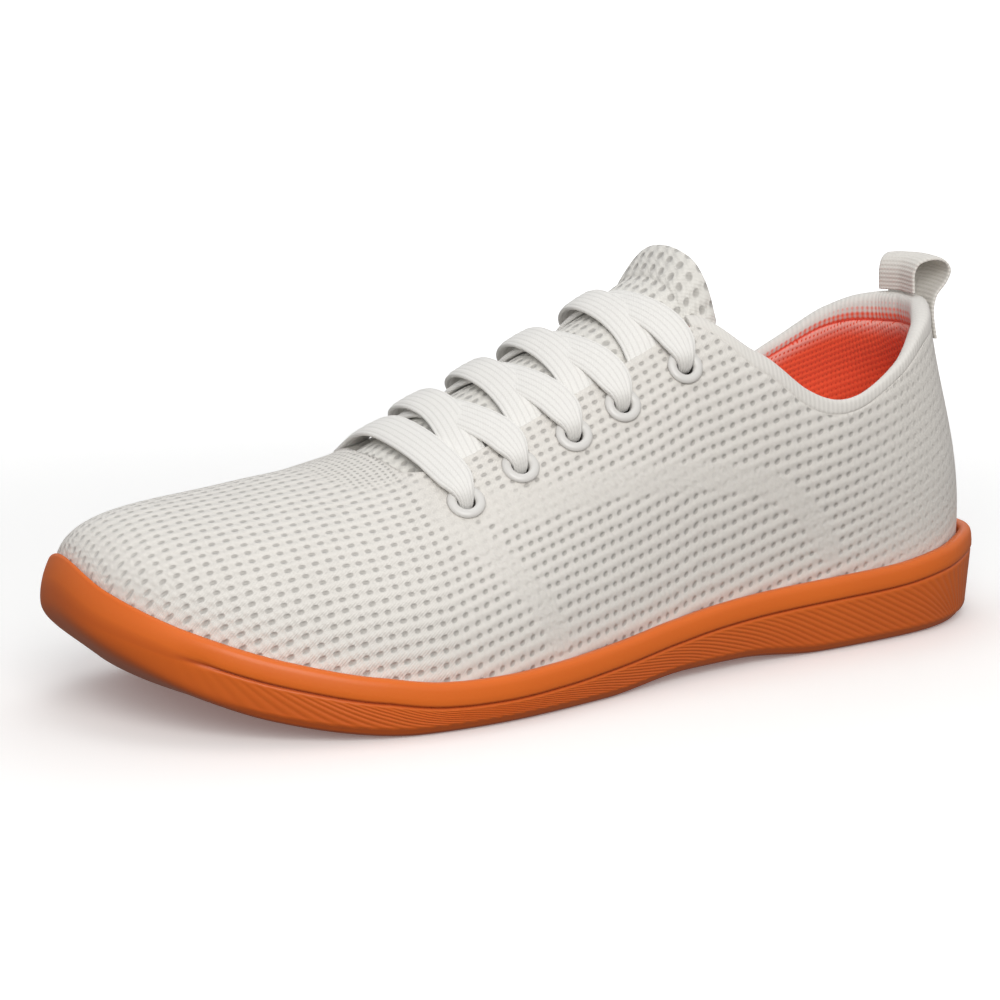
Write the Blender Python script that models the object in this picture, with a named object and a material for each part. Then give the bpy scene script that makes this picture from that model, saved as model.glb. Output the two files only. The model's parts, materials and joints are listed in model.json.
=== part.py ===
"""Indoor court shoe for the left foot: knit upper on a gum rubber cup sole.

Metres, +X to the toe, +Y to the outer side, +Z up. Sizes below are in millimetres.
"""
import math

import bmesh
import bpy
import numpy as np
from mathutils import Vector

MM = 0.001

# One row per section from heel to toe: place and half outlines of the sole, height of its rim,
# then where the rib of the upper starting there would end if it ran on to the middle of the
# instep or straight up past the collar (x, distance from the middle, height), the rise of its
# end in degrees, how much of that end is cut away, and the width of the strip on that edge.
SECTIONS = [
    # x,     outer, inner, rim,  end_x, end_y, end_z, rise, cut, strip
    (-140.5, -3.0, -3.0, 25.0, -121.0, 0.0, 100.0, 86.0, 14.0, 8.0),
    (-137.2, 7.5, -13.5, 25.2, -119.6, 7.5, 100.0, 86.0, 14.3, 8.0),
    (-128.5, 17.5, -23.5, 25.4, -115.0, 15.0, 100.0, 85.0, 14.6, 7.0),
    (-114.0, 27.0, -31.5, 24.0, -107.0, 22.0, 100.0, 82.0, 17.0, 5.4),
    (-91.0, 32.5, -35.0, 22.0, -92.5, 26.0, 100.0, 76.0, 26.5, 4.2),
    (-72.0, 34.5, -35.0, 21.5, -76.0, 22.5, 100.0, 64.0, 35.5, 4.0),
    (-58.0, 35.3, -34.6, 21.0, -61.0, 14.0, 101.0, 42.0, 38.5, 5.2),
    (-44.0, 36.4, -34.5, 20.4, -44.0, 4.5, 103.5, 14.0, 37.5, 6.2),
    (-29.0, 38.3, -35.8, 19.4, -27.0, 0.0, 101.2, 0.0, 25.0, 4.5),
    (-14.0, 40.9, -37.8, 17.8, -10.0, 0.0, 94.2, 0.0, 24.5, 0.0),
    (8.0, 46.0, -42.5, 15.2, 14.0, 0.0, 83.5, 0.0, 25.0, 0.0),
    (32.0, 51.5, -48.0, 13.5, 37.0, 0.0, 73.0, 0.0, 26.0, 0.0),
    (47.0, 53.7, -51.3, 13.0, 50.0, 0.0, 67.0, 0.0, 25.5, 0.0),
    (57.0, 54.1, -52.9, 13.1, 58.0, 0.0, 63.4, 0.0, 21.0, 0.0),
    (62.5, 54.0, -53.4, 13.4, 61.5, 0.0, 61.9, 0.0, 0.0, 0.0),
    (80.0, 51.8, -54.0, 16.0, 75.0, 0.0, 58.7, 0.0, 0.0, 0.0),
    (105.5, 42.5, -51.5, 21.8, 94.0, 0.0, 55.3, 0.0, 0.0, 0.0),
    (125.5, 28.0, -44.0, 29.0, 108.0, 0.0, 53.4, 0.0, 0.0, 0.0),
    (138.0, 9.5, -31.0, 36.0, 115.0, 0.0, 52.6, 0.0, 0.0, 0.0),
    (141.5, -13.0, -13.0, 41.5, 118.0, 0.0, 52.1, 0.0, 0.0, 0.0),
]
COLUMNS = ("x", "outer", "inner", "rim", "end_x", "end_y", "end_z", "rise", "cut", "strip")
CORNER = 8          # row of the eyestay corner
WELD = 14           # row where the throat ends and both sides meet
MIDDLE = [(-142.0, -3.0), (-60.0, -1.0), (0.0, 1.0), (50.0, -1.0), (90.0, -7.0), (142.0, -13.0)]

LOOP = 80           # points around the sole
FINE = 4            # rib points for each of them
ROWS = 12           # points along a rib of the upper
KNEE = 29.0         # distance from the middle where the rows below the throat stop
WALL = 2.0
GAP = 0.35
FIT = 0.3           # clearance between pieces that touch
LIP = 2.8           # thickness of the sole's standing rim
TUCK = 5.0          # how far the upper reaches down inside the rim
FOOTBED = 7.0       # rubber under the foot
GROOVE = 6.2        # groove line below the rim
RIB_HEIGHT = 0.7
RIB_SLIDE = 24.0    # how far a side rib runs back on its way down
TOE_FROM = 70.0
INSOLE_THICK = 3.5
TONGUE_THICK = 3.2
TONGUE_GAP = 0.7
# One row per section of the tongue: section of the upper it lies under, run beyond the eyestay
# corner, half width, and how far it stands up from its place under the upper.
TONGUE = [
    # section, beyond, half, lift
    (14.7, 0.0, 15.0, -1.6),
    (14.2, 0.0, 20.0, -1.5),
    (13.6, 0.0, 24.0, -1.3),
    (13.0, 0.0, 27.0, -0.9),
    (12.0, 0.0, 31.0, -0.3),
    (11.4, 0.0, 31.0, 0.0),
    (10.7, 0.0, 31.0, 0.0),
    (10.0, 0.0, 31.0, 0.0),
    (9.4, 0.0, 31.0, 0.3),
    (8.8, 0.0, 31.0, 1.0),
    (8.4, 0.0, 31.0, 2.2),
    (8.0, 0.0, 30.0, 3.8),
    (8.0, 4.5, 28.0, 5.4),
    (8.0, 8.0, 26.0, 6.0),
    (8.0, 10.0, 19.0, 5.8),
]
BEYOND = (-0.78, 0.0, 0.62)   # the way the tongue runs on past the corner
SLANT = 0.045         # how the top edge leans back towards its sides, for each mm beyond
TONGUE_ACROSS = 12
# Eyelets from the toe up: section of the upper and distance from the middle of the instep.
EYELETS = [(11.95, 38.0), (10.8, 35.5), (10.1, 34.5), (9.45, 34.0), (8.4, 34.0)]
HOLE = 2.4
BARREL = 3.1
FLANGE = 5.0
TURN = 12           # corners of an eyelet
LACE_WIDE = 7.6
LACE_THICK = 1.7
LACE_STEPS = 10
PAD_AT = (0.0, 2.0, 3.0, 4.0, 5.0, 8.0)     # sections where the collar's padding is given
PAD = (5.5, 5.5, 4.8, 3.0, 1.95, 1.9)      # its thickness there
LOOP_REACH = 1.25   # half width of the pull loop in section numbers
LOOP_PATH = [(1.4, -13.0), (1.5, -6.0), (2.8, -0.5), (6.2, 3.4), (7.7, 6.6), (6.6, 9.2),
             (3.0, 10.4), (-1.0, 9.6), (-3.1, 6.0), (-3.4, 1.0)]
LOOP_THICK = 1.3


def start_empty():
    for item in list(bpy.data.objects):
        bpy.data.objects.remove(item, do_unlink=True)


def column(name):
    return np.array([row[COLUMNS.index(name)] for row in SECTIONS], float)


def smooth(low, high, value):
    t = np.clip((np.asarray(value, float) - low) / (high - low), 0.0, 1.0)
    return t * t * (3.0 - 2.0 * t)


def along(knots, values, where, level=False):
    """Curve through the values that does not overshoot between rows; level ends it flat."""
    knots = np.asarray(knots, float)
    values = np.asarray(values, float)
    step = np.diff(knots)
    slope = np.diff(values) / step
    tangent = np.zeros(len(knots))
    left, right = slope[:-1], slope[1:]
    turning = left * right <= 0.0
    total = left + right
    mean = np.where(turning, 0.0, 2.0 * left * right / np.where(total == 0.0, 1.0, total))
    tangent[1:-1] = mean
    tangent[0], tangent[-1] = slope[0], (0.0 if level else slope[-1])
    where = np.clip(np.asarray(where, float), knots[0], knots[-1])
    k = np.clip(np.searchsorted(knots, where, side="right") - 1, 0, len(step) - 1)
    t = (where - knots[k]) / step[k]
    h = step[k]
    keep = (1 + 2 * t) * (1 - t) ** 2 * values[k] + t * t * (3 - 2 * t) * values[k + 1]
    bend = t * (1 - t) ** 2 * h * tangent[k] - t * t * (1 - t) * h * tangent[k + 1]
    return keep + bend


def ring_spline(points):
    """Closed smooth curve; returns the knots and a function giving points on it."""
    points = np.asarray(points, float)
    count = len(points)
    chord = np.linalg.norm(np.roll(points, -1, 0) - points, axis=1)
    knots = np.concatenate([[0.0], np.cumsum(chord)])
    matrix = np.zeros((count, count))
    right = np.zeros((count, 2))
    for i in range(count):
        before, after = chord[i - 1], chord[i]
        matrix[i, i - 1] += before
        matrix[i, i] += 2.0 * (before + after)
        matrix[i, (i + 1) % count] += after
        ahead = (points[(i + 1) % count] - points[i]) / after
        behind = (points[i] - points[i - 1]) / before
        right[i] = 6.0 * (ahead - behind)
    curve = np.linalg.solve(matrix, right)

    def at(where):
        where = np.mod(where, knots[-1])
        k = np.clip(np.searchsorted(knots, where, side="right") - 1, 0, count - 1)
        n = (k + 1) % count
        h = chord[k][:, None]
        a = (knots[k + 1] - where)[:, None] / h
        b = 1.0 - a
        bow = ((a ** 3 - a) * curve[k] + (b ** 3 - b) * curve[n]) * h * h / 6.0
        return a * points[k] + b * points[n] + bow

    return knots, at


LAST = len(SECTIONS) - 1
X = column("x")
OUTER_SIDE = np.stack([X, column("outer")], -1)
INNER_SIDE = np.stack([X, column("inner")], -1)
RING = np.concatenate([OUTER_SIDE, INNER_SIDE[LAST - 1:0:-1]])
KNOTS, ring_at = ring_spline(RING)
OUTER_KNOTS = KNOTS[:LAST + 1]
INNER_KNOTS = KNOTS[LAST:][::-1]


def sections_for(half):
    """Section numbers of evenly spaced places from heel to toe tip."""
    even = np.linspace(OUTER_KNOTS[0], OUTER_KNOTS[-1], half + 1)
    section = np.interp(even, OUTER_KNOTS, np.arange(LAST + 1.0))
    for row in (CORNER, WELD - 1, WELD):
        section[np.argmin(np.abs(section - row))] = row
    return section


def outline(section, side, slide=0.0):
    """Points and outward normals of the sole's plan outline at section numbers."""
    section = np.asarray(section, float)
    if slide:
        reach = OUTER_KNOTS[-1]
        place = np.interp(section, np.arange(LAST + 1.0), OUTER_KNOTS)
        part = smooth(0.06, 0.22, place / reach) * (1.0 - smooth(0.72, 0.92, place / reach))
        section = np.interp(place - slide * part, OUTER_KNOTS, np.arange(LAST + 1.0))
    knots = OUTER_KNOTS if side > 0 else INNER_KNOTS
    where = np.interp(section, np.arange(LAST + 1.0), knots)
    ahead = ring_at(where + 0.05)
    back = ring_at(where - 0.05)
    run = ahead - back
    run /= np.linalg.norm(run, axis=1)[:, None]
    normal = np.stack([-run[:, 1], run[:, 0]], -1)
    return ring_at(where), normal, section


def value(name, section):
    return along(np.arange(LAST + 1.0), column(name), section, name == "rim")


def base_height(x):
    """Underside: flat heel and forefoot, a low arch between, the toe springing up."""
    x = np.asarray(x, float)
    arch = 2.2 * smooth(-66.0, -36.0, x) * (1.0 - smooth(-18.0, 12.0, x))
    spring = 0.012 * np.maximum(x - TOE_FROM, 0.0) ** 1.7
    heel = 1.5 * (1.0 - smooth(-141.0, -122.0, x))
    return arch + spring + heel


def loop(count, slide=0.0):
    """Whole way round: outer side heel to toe, then inner side toe to heel."""
    half = count // 2
    section = sections_for(half)
    p_out, n_out, s_out = outline(section, 1, slide)
    p_in, n_in, s_in = outline(section[1:-1][::-1], -1, slide)
    points = np.concatenate([p_out, p_in])
    normals = np.concatenate([n_out, n_in])
    places = np.concatenate([s_out, s_in])
    return points, normals, places


def centre_y(x):
    table = np.array(MIDDLE)
    return along(table[:, 0], table[:, 1], x)


def new_object(name, verts, faces, colour, rough):
    mesh = bpy.data.meshes.new(name)
    mesh.from_pydata([tuple(np.asarray(v, float) * MM) for v in verts], [], [tuple(f) for f in faces])
    mesh.validate()
    made = bmesh.new()
    made.from_mesh(mesh)
    bmesh.ops.recalc_face_normals(made, faces=made.faces)
    if made.calc_volume(signed=True) < 0.0:
        bmesh.ops.reverse_faces(made, faces=made.faces)
    made.to_mesh(mesh)
    made.free()
    item = bpy.data.objects.new(name, mesh)
    bpy.context.collection.objects.link(item)
    item.data.materials.append(material(name, colour, rough))
    return item


def material(name, colour, rough):
    made = bpy.data.materials.new(name)
    made.use_nodes = True
    shader = made.node_tree.nodes["Principled BSDF"]
    shader.inputs["Base Color"].default_value = (*colour, 1.0)
    shader.inputs["Roughness"].default_value = rough
    return made


class Skin:
    """Collects rings of points and the faces between them."""

    def __init__(self):
        self.verts = []
        self.faces = []

    def ring(self, points):
        start = len(self.verts)
        self.verts.extend(points)
        return list(range(start, start + len(points)))

    def band(self, low, high, closed=True):
        count = len(low)
        for i in range(count if closed else count - 1):
            j = (i + 1) % count
            self.faces.append((low[i], low[j], high[j], high[i]))

    def stitch(self, few, many, flip=False):
        """Join a ring to one with FINE times as many points."""
        count = len(few)
        for i in range(count):
            j = (i + 1) % count
            for k in range(FINE):
                a = many[i * FINE + k]
                b = many[(i * FINE + k + 1) % len(many)]
                own = few[i] if k < FINE // 2 else few[j]
                self.add(own, b, a, flip)
                if k == FINE // 2 - 1:
                    self.add(few[i], few[j], b, flip)

    def add(self, a, b, c, flip):
        self.faces.append((a, c, b) if flip else (a, b, c))

    def ladder(self, ring):
        """Close a ring with rungs from the outer to the inner side."""
        count = len(ring)
        half = count // 2
        for i in range(half):
            a, b = ring[i], ring[i + 1]
            c, d = ring[(count - i - 1) % count], ring[(count - i) % count]
            corners = []
            for corner in (a, b, c, d):
                if corner not in corners:
                    corners.append(corner)
            self.faces.append(tuple(corners))


def sole_ring(points, normals, offset, height):
    flat = points + normals * np.asarray(offset, float).reshape(-1, 1)
    return np.column_stack([flat, height])


def make_outsole():
    skin = Skin()
    low_p, low_n, low_s = loop(LOOP, RIB_SLIDE)
    fine_low_p, fine_low_n, fine_low_s = loop(LOOP * FINE, RIB_SLIDE)
    fine_p, fine_n, fine_s = loop(LOOP * FINE)
    top_p, top_n, top_s = loop(LOOP)
    rim = value("rim", top_s)
    fine_rim = value("rim", fine_s)
    base = base_height(low_p[:, 0])
    fine_base = base_height(fine_low_p[:, 0])
    tooth = (np.arange(LOOP * FINE) % 2) * RIB_HEIGHT
    ribbed = smooth(0.5, 2.2, fine_s) * (1.0 - smooth(14.6, 16.2, fine_s))
    line = 1.0 - smooth(15.6, 17.2, top_s)
    under = base_height(low_p[:, 0] - 13.0 * low_n[:, 0])
    low_toe = smooth(16.5, 19.0, low_s)
    fine_low_toe = smooth(16.5, 19.0, fine_low_s)
    toe = smooth(16.5, 19.0, top_s)
    heel = 1.0 - smooth(0.0, 2.5, low_s)
    fine_heel = 1.0 - smooth(0.0, 2.5, fine_low_s)
    fine_toe = smooth(16.5, 19.0, fine_s)
    rows = [
        skin.ring(sole_ring(low_p, low_n, np.full(LOOP, -14.0), under)),
        skin.ring(sole_ring(low_p, low_n, -4.2 - 4.0 * low_toe - 1.6 * heel, base)),
        skin.ring(sole_ring(low_p, low_n, -1.9 - 3.6 * low_toe - 1.6 * heel, base + 0.8 + 0.8 * low_toe)),
        skin.ring(sole_ring(low_p, low_n, -0.9 - 2.4 * low_toe - 1.2 * heel, base + 2.2 + 2.4 * low_toe)),
    ]
    rib_low = skin.ring(sole_ring(fine_low_p, fine_low_n, 0.1 - tooth * ribbed - 1.8 * fine_low_toe - fine_heel,
                                  fine_base + 3.0 + 3.8 * fine_low_toe))
    rib_top = skin.ring(sole_ring(fine_p, fine_n, 0.9 - tooth * ribbed - 0.4 * fine_toe,
                                  fine_rim - GROOVE - 0.7 - 5.0 * fine_toe))
    high = [
        skin.ring(sole_ring(top_p, top_n, 0.9 - 0.9 * line - 0.4 * toe, rim - GROOVE - 0.3 - 4.0 * toe)),
        skin.ring(sole_ring(top_p, top_n, 0.9 - 0.9 * line - 0.5 * toe, rim - GROOVE + 0.3 - 3.0 * toe)),
        skin.ring(sole_ring(top_p, top_n, 1.1 - 1.0 * toe, rim - GROOVE + 0.9 - 1.5 * toe)),
        skin.ring(sole_ring(top_p, top_n, 0.9 - 1.9 * toe, rim - 1.8)),
        skin.ring(sole_ring(top_p, top_n, 0.2 - 1.6 * toe, rim - 0.4)),
        skin.ring(sole_ring(top_p, top_n, -0.9 - 1.2 * toe, rim)),
        skin.ring(sole_ring(top_p, top_n, -LIP + 0.4 - 0.3 * toe, rim - 0.3)),
        skin.ring(sole_ring(top_p, top_n, np.full(LOOP, -LIP), rim - 1.2)),
    ]
    inside = top_p - top_n * (LIP + 0.1)
    floor = base_height(inside[:, 0]) + FOOTBED
    high.append(skin.ring(np.column_stack([inside, np.minimum(floor, rim - TUCK - 0.8)])))
    skin.ladder(rows[0])
    for low, up in zip(rows, rows[1:]):
        skin.band(low, up)
    skin.stitch(rows[-1], rib_low)
    skin.band(rib_low, rib_top)
    skin.stitch(high[0], rib_top, True)
    for low, up in zip(high, high[1:]):
        skin.band(low, up)
    skin.ladder(high[-1])
    return new_object("outsole", skin.verts, skin.faces, (0.55, 0.16, 0.03), 0.5)


def make_insole():
    skin = Skin()
    points, normals, _ = loop(LOOP)
    edge = points - normals * (LIP + FIT + 0.55 + WALL + 0.5)
    floor = base_height(edge[:, 0]) + FOOTBED + FIT + 0.1
    inner = edge - normals * 1.2
    rows = [
        skin.ring(np.column_stack([edge, floor])),
        skin.ring(np.column_stack([edge, floor + INSOLE_THICK - 1.0])),
        skin.ring(np.column_stack([inner, base_height(inner[:, 0]) + FOOTBED + FIT + 0.1 + INSOLE_THICK])),
    ]
    skin.ladder(rows[0])
    for low, up in zip(rows, rows[1:]):
        skin.band(low, up)
    skin.ladder(rows[-1])
    return new_object("insole", skin.verts, skin.faces, (0.75, 0.2, 0.08), 0.8)


def rib_curve(section, side, count=60):
    """Full rib from inside the rim to the middle of the instep or the collar edge."""
    place = np.array([float(section)])
    point, normal, _ = outline(place, side)
    point, normal = point[0], normal[0]
    inset = LIP + FIT + 0.55
    start = np.array([*(point - normal * inset), float(value("rim", place)[0]) - TUCK])
    end_x = float(value("end_x", place)[0])
    end_y = centre_y(end_x) + side * float(value("end_y", place)[0])
    end = np.array([end_x, float(end_y), float(value("end_z", place)[0])])
    rise = math.radians(float(value("rise", place)[0]))
    toe = float(smooth(WELD + 2.5, LAST, section)) * math.pi / 2.0
    collar = 1.0 - float(smooth(CORNER - 2.0, CORNER, section))
    across = np.array([0.0, -float(side)])
    inward = -normal * collar + across * (1.0 - collar)
    inward /= np.linalg.norm(inward)
    level = np.array([*inward, 0.0])
    back = np.array([-0.98, 0.0, 0.12])
    level = level * math.cos(toe) + back * math.sin(toe)
    arrive = level * math.cos(rise) + np.array([0.0, 0.0, math.sin(rise)])
    lean = math.radians(3.0 + 3.0 * float(smooth(1.0, 4.0, section)))
    leave = np.array([*(normal * math.sin(lean)), math.cos(lean)])
    reach = np.linalg.norm(end - start)
    one = start + leave * reach * 0.42
    two = end - arrive * reach * 0.40
    t = np.linspace(0.0, 1.0, count)[:, None]
    return (1 - t) ** 3 * start + 3 * (1 - t) ** 2 * t * one + 3 * (1 - t) * t * t * two + t ** 3 * end


def arc_from_end(curve):
    length = np.linalg.norm(np.diff(curve, axis=0), axis=1)
    return np.concatenate([np.cumsum(length[::-1])[::-1], [0.0]])


def on_rib(curve, arcs):
    """Points at distances measured back from the rib's end."""
    arc = arc_from_end(curve)[::-1]
    flipped = curve[::-1]
    return np.column_stack([np.interp(arcs, arc, flipped[:, k]) for k in range(3)])


def upper_rib(section, side, rows):
    curve = rib_curve(section, side)
    total = arc_from_end(curve)[0]
    cut = float(value("cut", np.array([section]))[0])
    knee = min(max(KNEE, cut + 6.0), cut + 0.6 * (total - cut))
    lower = np.linspace(total, knee, rows - 3)
    return on_rib(curve, np.concatenate([lower, np.linspace(knee, cut, 5)[1:]]))


def grid_normals(grid):
    run = np.roll(grid, -1, 0) - np.roll(grid, 1, 0)
    up = np.gradient(grid, axis=1)
    normal = np.cross(up, run)
    return normal / np.maximum(np.linalg.norm(normal, axis=2), 1e-9)[:, :, None]


def upper_grid(half, rows):
    section = sections_for(half)
    outer = [upper_rib(s, 1, rows) for s in section]
    inner = [upper_rib(s, -1, rows) for s in section[1:-1][::-1]]
    grid = np.array(outer + inner)
    places = np.concatenate([section, section[1:-1][::-1]])
    normal = grid_normals(grid)
    count = len(grid)
    for i in range(half + 1):
        if section[i] >= WELD - 0.001:
            j = (count - i) % count
            mean = normal[i, -1] + normal[j, -1]
            normal[i, -1] = normal[j, -1] = mean / max(np.linalg.norm(mean), 1e-9)
    normal[half, -1] = normal[half - 1, -1]
    return grid, normal, places


def make_upper():
    half = LOOP // 2
    grid, normal, places = upper_grid(half, ROWS)
    count = len(grid)
    skin = Skin()
    welded = places >= WELD - 0.001
    layers = []
    for depth in (0.0, WALL):
        index = np.zeros((count, ROWS + 1), int)
        layer = grid - normal * depth
        for i in range(count):
            for j in range(ROWS + 1):
                twin = (count - i) % count
                if j == ROWS and welded[i] and twin < i:
                    index[i, j] = index[twin, j]
                else:
                    index[i, j] = len(skin.verts)
                    skin.verts.append(layer[i, j])
        layers.append(index)
    outside, within = layers
    for i in range(count):
        k = (i + 1) % count
        for j in range(ROWS):
            skin.faces.append((outside[i, j], outside[k, j], outside[k, j + 1], outside[i, j + 1]))
            skin.faces.append((within[i, j + 1], within[k, j + 1], within[k, j], within[i, j]))
        skin.faces.append((within[i, 0], within[k, 0], outside[k, 0], outside[i, 0]))
        if not (welded[i] and welded[k]):
            skin.faces.append((outside[i, ROWS], outside[k, ROWS], within[k, ROWS], within[i, ROWS]))
    return new_object("upper", skin.verts, skin.faces, (0.82, 0.80, 0.77), 0.9)


def on_instep(section, arc):
    side = 1 if arc >= 0.0 else -1
    return on_rib(rib_curve(section, side), np.array([abs(arc)]))[0]


def instep_normal(section, arc):
    """Outward normal of the upper's shape, running on over the open throat."""
    ahead = on_instep(section + 0.15, arc) - on_instep(section - 0.15, arc)
    across = on_instep(section, arc + 0.8) - on_instep(section, arc - 0.8)
    normal = np.cross(ahead, across)
    return normal / np.linalg.norm(normal)


def plate(name, top, bottom, colour, rough):
    """Closed plate from two equal grids of points."""
    rows, wide = len(top), len(top[0])
    skin = Skin()
    upper = [skin.ring(row) for row in top]
    lower = [skin.ring(row) for row in bottom]
    for i in range(rows - 1):
        skin.band(upper[i], upper[i + 1], False)
        skin.band(lower[i + 1], lower[i], False)
    for k in (0, wide - 1):
        skin.band([row[k] for row in upper], [row[k] for row in lower], False)
    for k in (0, rows - 1):
        skin.band(lower[k], upper[k], False)
    return new_object(name, skin.verts, skin.faces, colour, rough)


def make_tongue():
    top, bottom = [], []
    for section, beyond, half, lift in TONGUE:
        arcs = np.linspace(-half, half, TONGUE_ACROSS + 1)
        over, under = [], []
        for arc in arcs:
            normal = instep_normal(section, arc)
            edge = abs(arc) / half
            middle = 1.0 - float(smooth(6.0, 19.0, abs(arc)))
            rise = min(lift, 0.0) + max(lift, 0.0) * middle - TONGUE_GAP - 0.3 * beyond * edge ** 2
            point = on_instep(section, arc)
            drop = on_instep(section, 0.0)[2] - point[2]
            point = point + np.array(BEYOND) * beyond - np.array((SLANT * beyond * drop, 0.0, 0.0))
            thick = TONGUE_THICK * (1.0 - 0.45 * edge ** 4)
            over.append(point + normal * (rise - WALL))
            under.append(point + normal * (rise - WALL - thick))
        top.append(over)
        bottom.append(under)
    return plate("tongue", top, bottom, (0.8, 0.78, 0.75), 0.9)


def collar_sections():
    section = sections_for(LOOP // 2)
    section = section[section <= CORNER]
    signed = [(s, -1) for s in section[:0:-1]]
    return signed + [(s, 1) for s in section]


def rib_frame(section, side, arc):
    """Point, outward normal and upward run of the upper's shape."""
    curve = rib_curve(section, side)
    point, above = on_rib(curve, np.array([arc, max(arc - 1.0, 0.0)]))
    below = on_rib(curve, np.array([arc + 1.0]))[0]
    up = above - below
    up /= np.linalg.norm(up)
    step = 0.1
    if section < step:
        ahead = on_rib(rib_curve(step, 1), np.array([arc]))[0]
        back = on_rib(rib_curve(step, -1), np.array([arc]))[0]
        run = ahead - back
    else:
        ahead = on_rib(rib_curve(section + step, side), np.array([arc]))[0]
        back = on_rib(rib_curve(section - step, side), np.array([arc]))[0]
        run = (ahead - back) * side
    normal = np.cross(up, run)
    return point, normal / np.linalg.norm(normal), up


def make_binding():
    skin = Skin()
    rings = []
    for section, side in collar_sections():
        wide = float(value("strip", np.array([section]))[0])
        cut = float(value("cut", np.array([section]))[0]) - 2.0 * FIT
        pad = float(along(PAD_AT, PAD, section))
        profile = [(0.0, 0.1), (wide * 0.5, 0.4), (wide - 0.8, 0.2), (wide, -0.5 * pad),
                   (wide - 1.0, -pad), (0.0, -pad)]
        ring = []
        for up, out in profile:
            point, normal, _ = rib_frame(section, side, cut - up)
            ring.append(point + normal * out)
        rings.append(skin.ring(ring))
    for one, two in zip(rings, rings[1:]):
        skin.band(one, two)
    skin.faces.append(tuple(rings[0]))
    skin.faces.append(tuple(rings[-1]))
    return new_object("collar_binding", skin.verts, skin.faces, (0.83, 0.81, 0.78), 0.8)


def make_pull_loop():
    path = np.array(LOOP_PATH)
    run = np.gradient(path, axis=0)
    run /= np.linalg.norm(run, axis=1)[:, None]
    off = np.stack([run[:, 1], -run[:, 0]], -1) * LOOP_THICK / 2.0
    outer, inner = [], []
    for place in np.linspace(-LOOP_REACH, LOOP_REACH, 7):
        section, side = abs(place), (1 if place >= 0.0 else -1)
        open_at = float(value("cut", np.array([section]))[0]) - FIT - 8.0
        for faces, grid in ((path + off, outer), (path - off, inner)):
            line = []
            for out, high in faces:
                point, normal, up = rib_frame(section, side, open_at + max(-high, 0.0))
                line.append(point + normal * out + up * max(high, 0.0))
            grid.append(line)
    return plate("pull_loop", outer, inner, (0.83, 0.81, 0.77), 0.85)


def turned(name, profile, spot, axis, colour, rough):
    """Closed ring turned about an axis from a profile of (radius, height)."""
    skin = Skin()
    pose = Vector(axis).to_track_quat("Z", "X")
    rings = []
    for radius, high in profile:
        ring = []
        for k in range(TURN):
            angle = 2.0 * math.pi * k / TURN
            local = Vector((radius * math.cos(angle), radius * math.sin(angle), high))
            ring.append(np.array(spot) + np.array(pose @ local))
        rings.append(skin.ring(ring))
    for one, two in zip(rings, rings[1:] + rings[:1]):
        skin.band(one, two)
    return new_object(name, skin.verts, skin.faces, colour, rough)


def eyelet_places(side):
    for section, arc in EYELETS:
        yield section, arc, on_instep(section, side * arc), instep_normal(section, side * arc)


def make_eyelets():
    profile = [(HOLE, -1.9), (BARREL, -1.9), (BARREL, 0.45), (FLANGE, 0.45), (FLANGE - 0.5, 1.2),
               (HOLE + 0.5, 1.2)]
    for name, side in (("lateral", 1), ("medial", -1)):
        for k, (_, _, spot, axis) in enumerate(eyelet_places(side)):
            turned(f"eyelet_{name}_{k + 1}", profile, spot, axis, (0.8, 0.79, 0.77), 0.35)


def cut_eyelet_holes(upper):
    skin = Skin()
    for side in (1, -1):
        for _, _, spot, axis in eyelet_places(side):
            pose = Vector(axis).to_track_quat("Z", "X")
            ends = []
            for high in (-6.0, 4.0):
                ring = []
                for k in range(TURN):
                    angle = 2.0 * math.pi * (k + 0.5) / TURN
                    reach = BARREL + GAP + 0.1
                    local = Vector((reach * math.cos(angle), reach * math.sin(angle), high))
                    ring.append(np.array(spot) + np.array(pose @ local))
                ends.append(skin.ring(ring))
            skin.band(ends[0], ends[1])
            skin.faces.append(tuple(ends[0][::-1]))
            skin.faces.append(tuple(ends[1]))
    cutter = new_object("eyelet_holes", skin.verts, skin.faces, (0.5, 0.5, 0.5), 0.5)
    apply_later(upper, cutter, "DIFFERENCE")


def apply_later(target, tool, operation):
    tool.hide_render = True
    tool.display_type = "WIRE"
    change = target.modifiers.new(tool.name, "BOOLEAN")
    change.operation = operation
    change.solver = "EXACT"
    change.object = tool


def lace_strip(name, start, end, over):
    """Flat lace from one place on the instep to another, lying over the open throat."""
    centre, frame = [], []
    for t in np.linspace(0.0, 1.0, LACE_STEPS + 1):
        section = start[0] + (end[0] - start[0]) * t
        arc = start[1] + (end[1] - start[1]) * t
        bump = math.exp(-((t - 0.5) / 0.2) ** 2)
        lift = 0.5 + LACE_THICK / 2.0 + over * bump
        normal = instep_normal(section, arc)
        centre.append(on_instep(section, arc) + normal * lift)
        frame.append(normal)
    centre = np.array(centre)
    run = np.gradient(centre, axis=0)
    skin = Skin()
    rings = []
    half, thick = LACE_WIDE / 2.0, LACE_THICK / 2.0
    corners = ((-half, -0.4 * thick), (-half + 0.8, -thick), (half - 0.8, -thick), (half, -0.4 * thick),
               (half - 0.8, thick), (-half + 0.8, thick))
    for point, normal, ahead in zip(centre, frame, run):
        side = np.cross(normal, ahead)
        side /= np.linalg.norm(side)
        rings.append(skin.ring([point + side * a + normal * b for a, b in corners]))
    for one, two in zip(rings, rings[1:]):
        skin.band(one, two)
    skin.faces.append(tuple(rings[0]))
    skin.faces.append(tuple(rings[-1]))
    return new_object(name, skin.verts, skin.faces, (0.85, 0.84, 0.81), 0.8)


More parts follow.
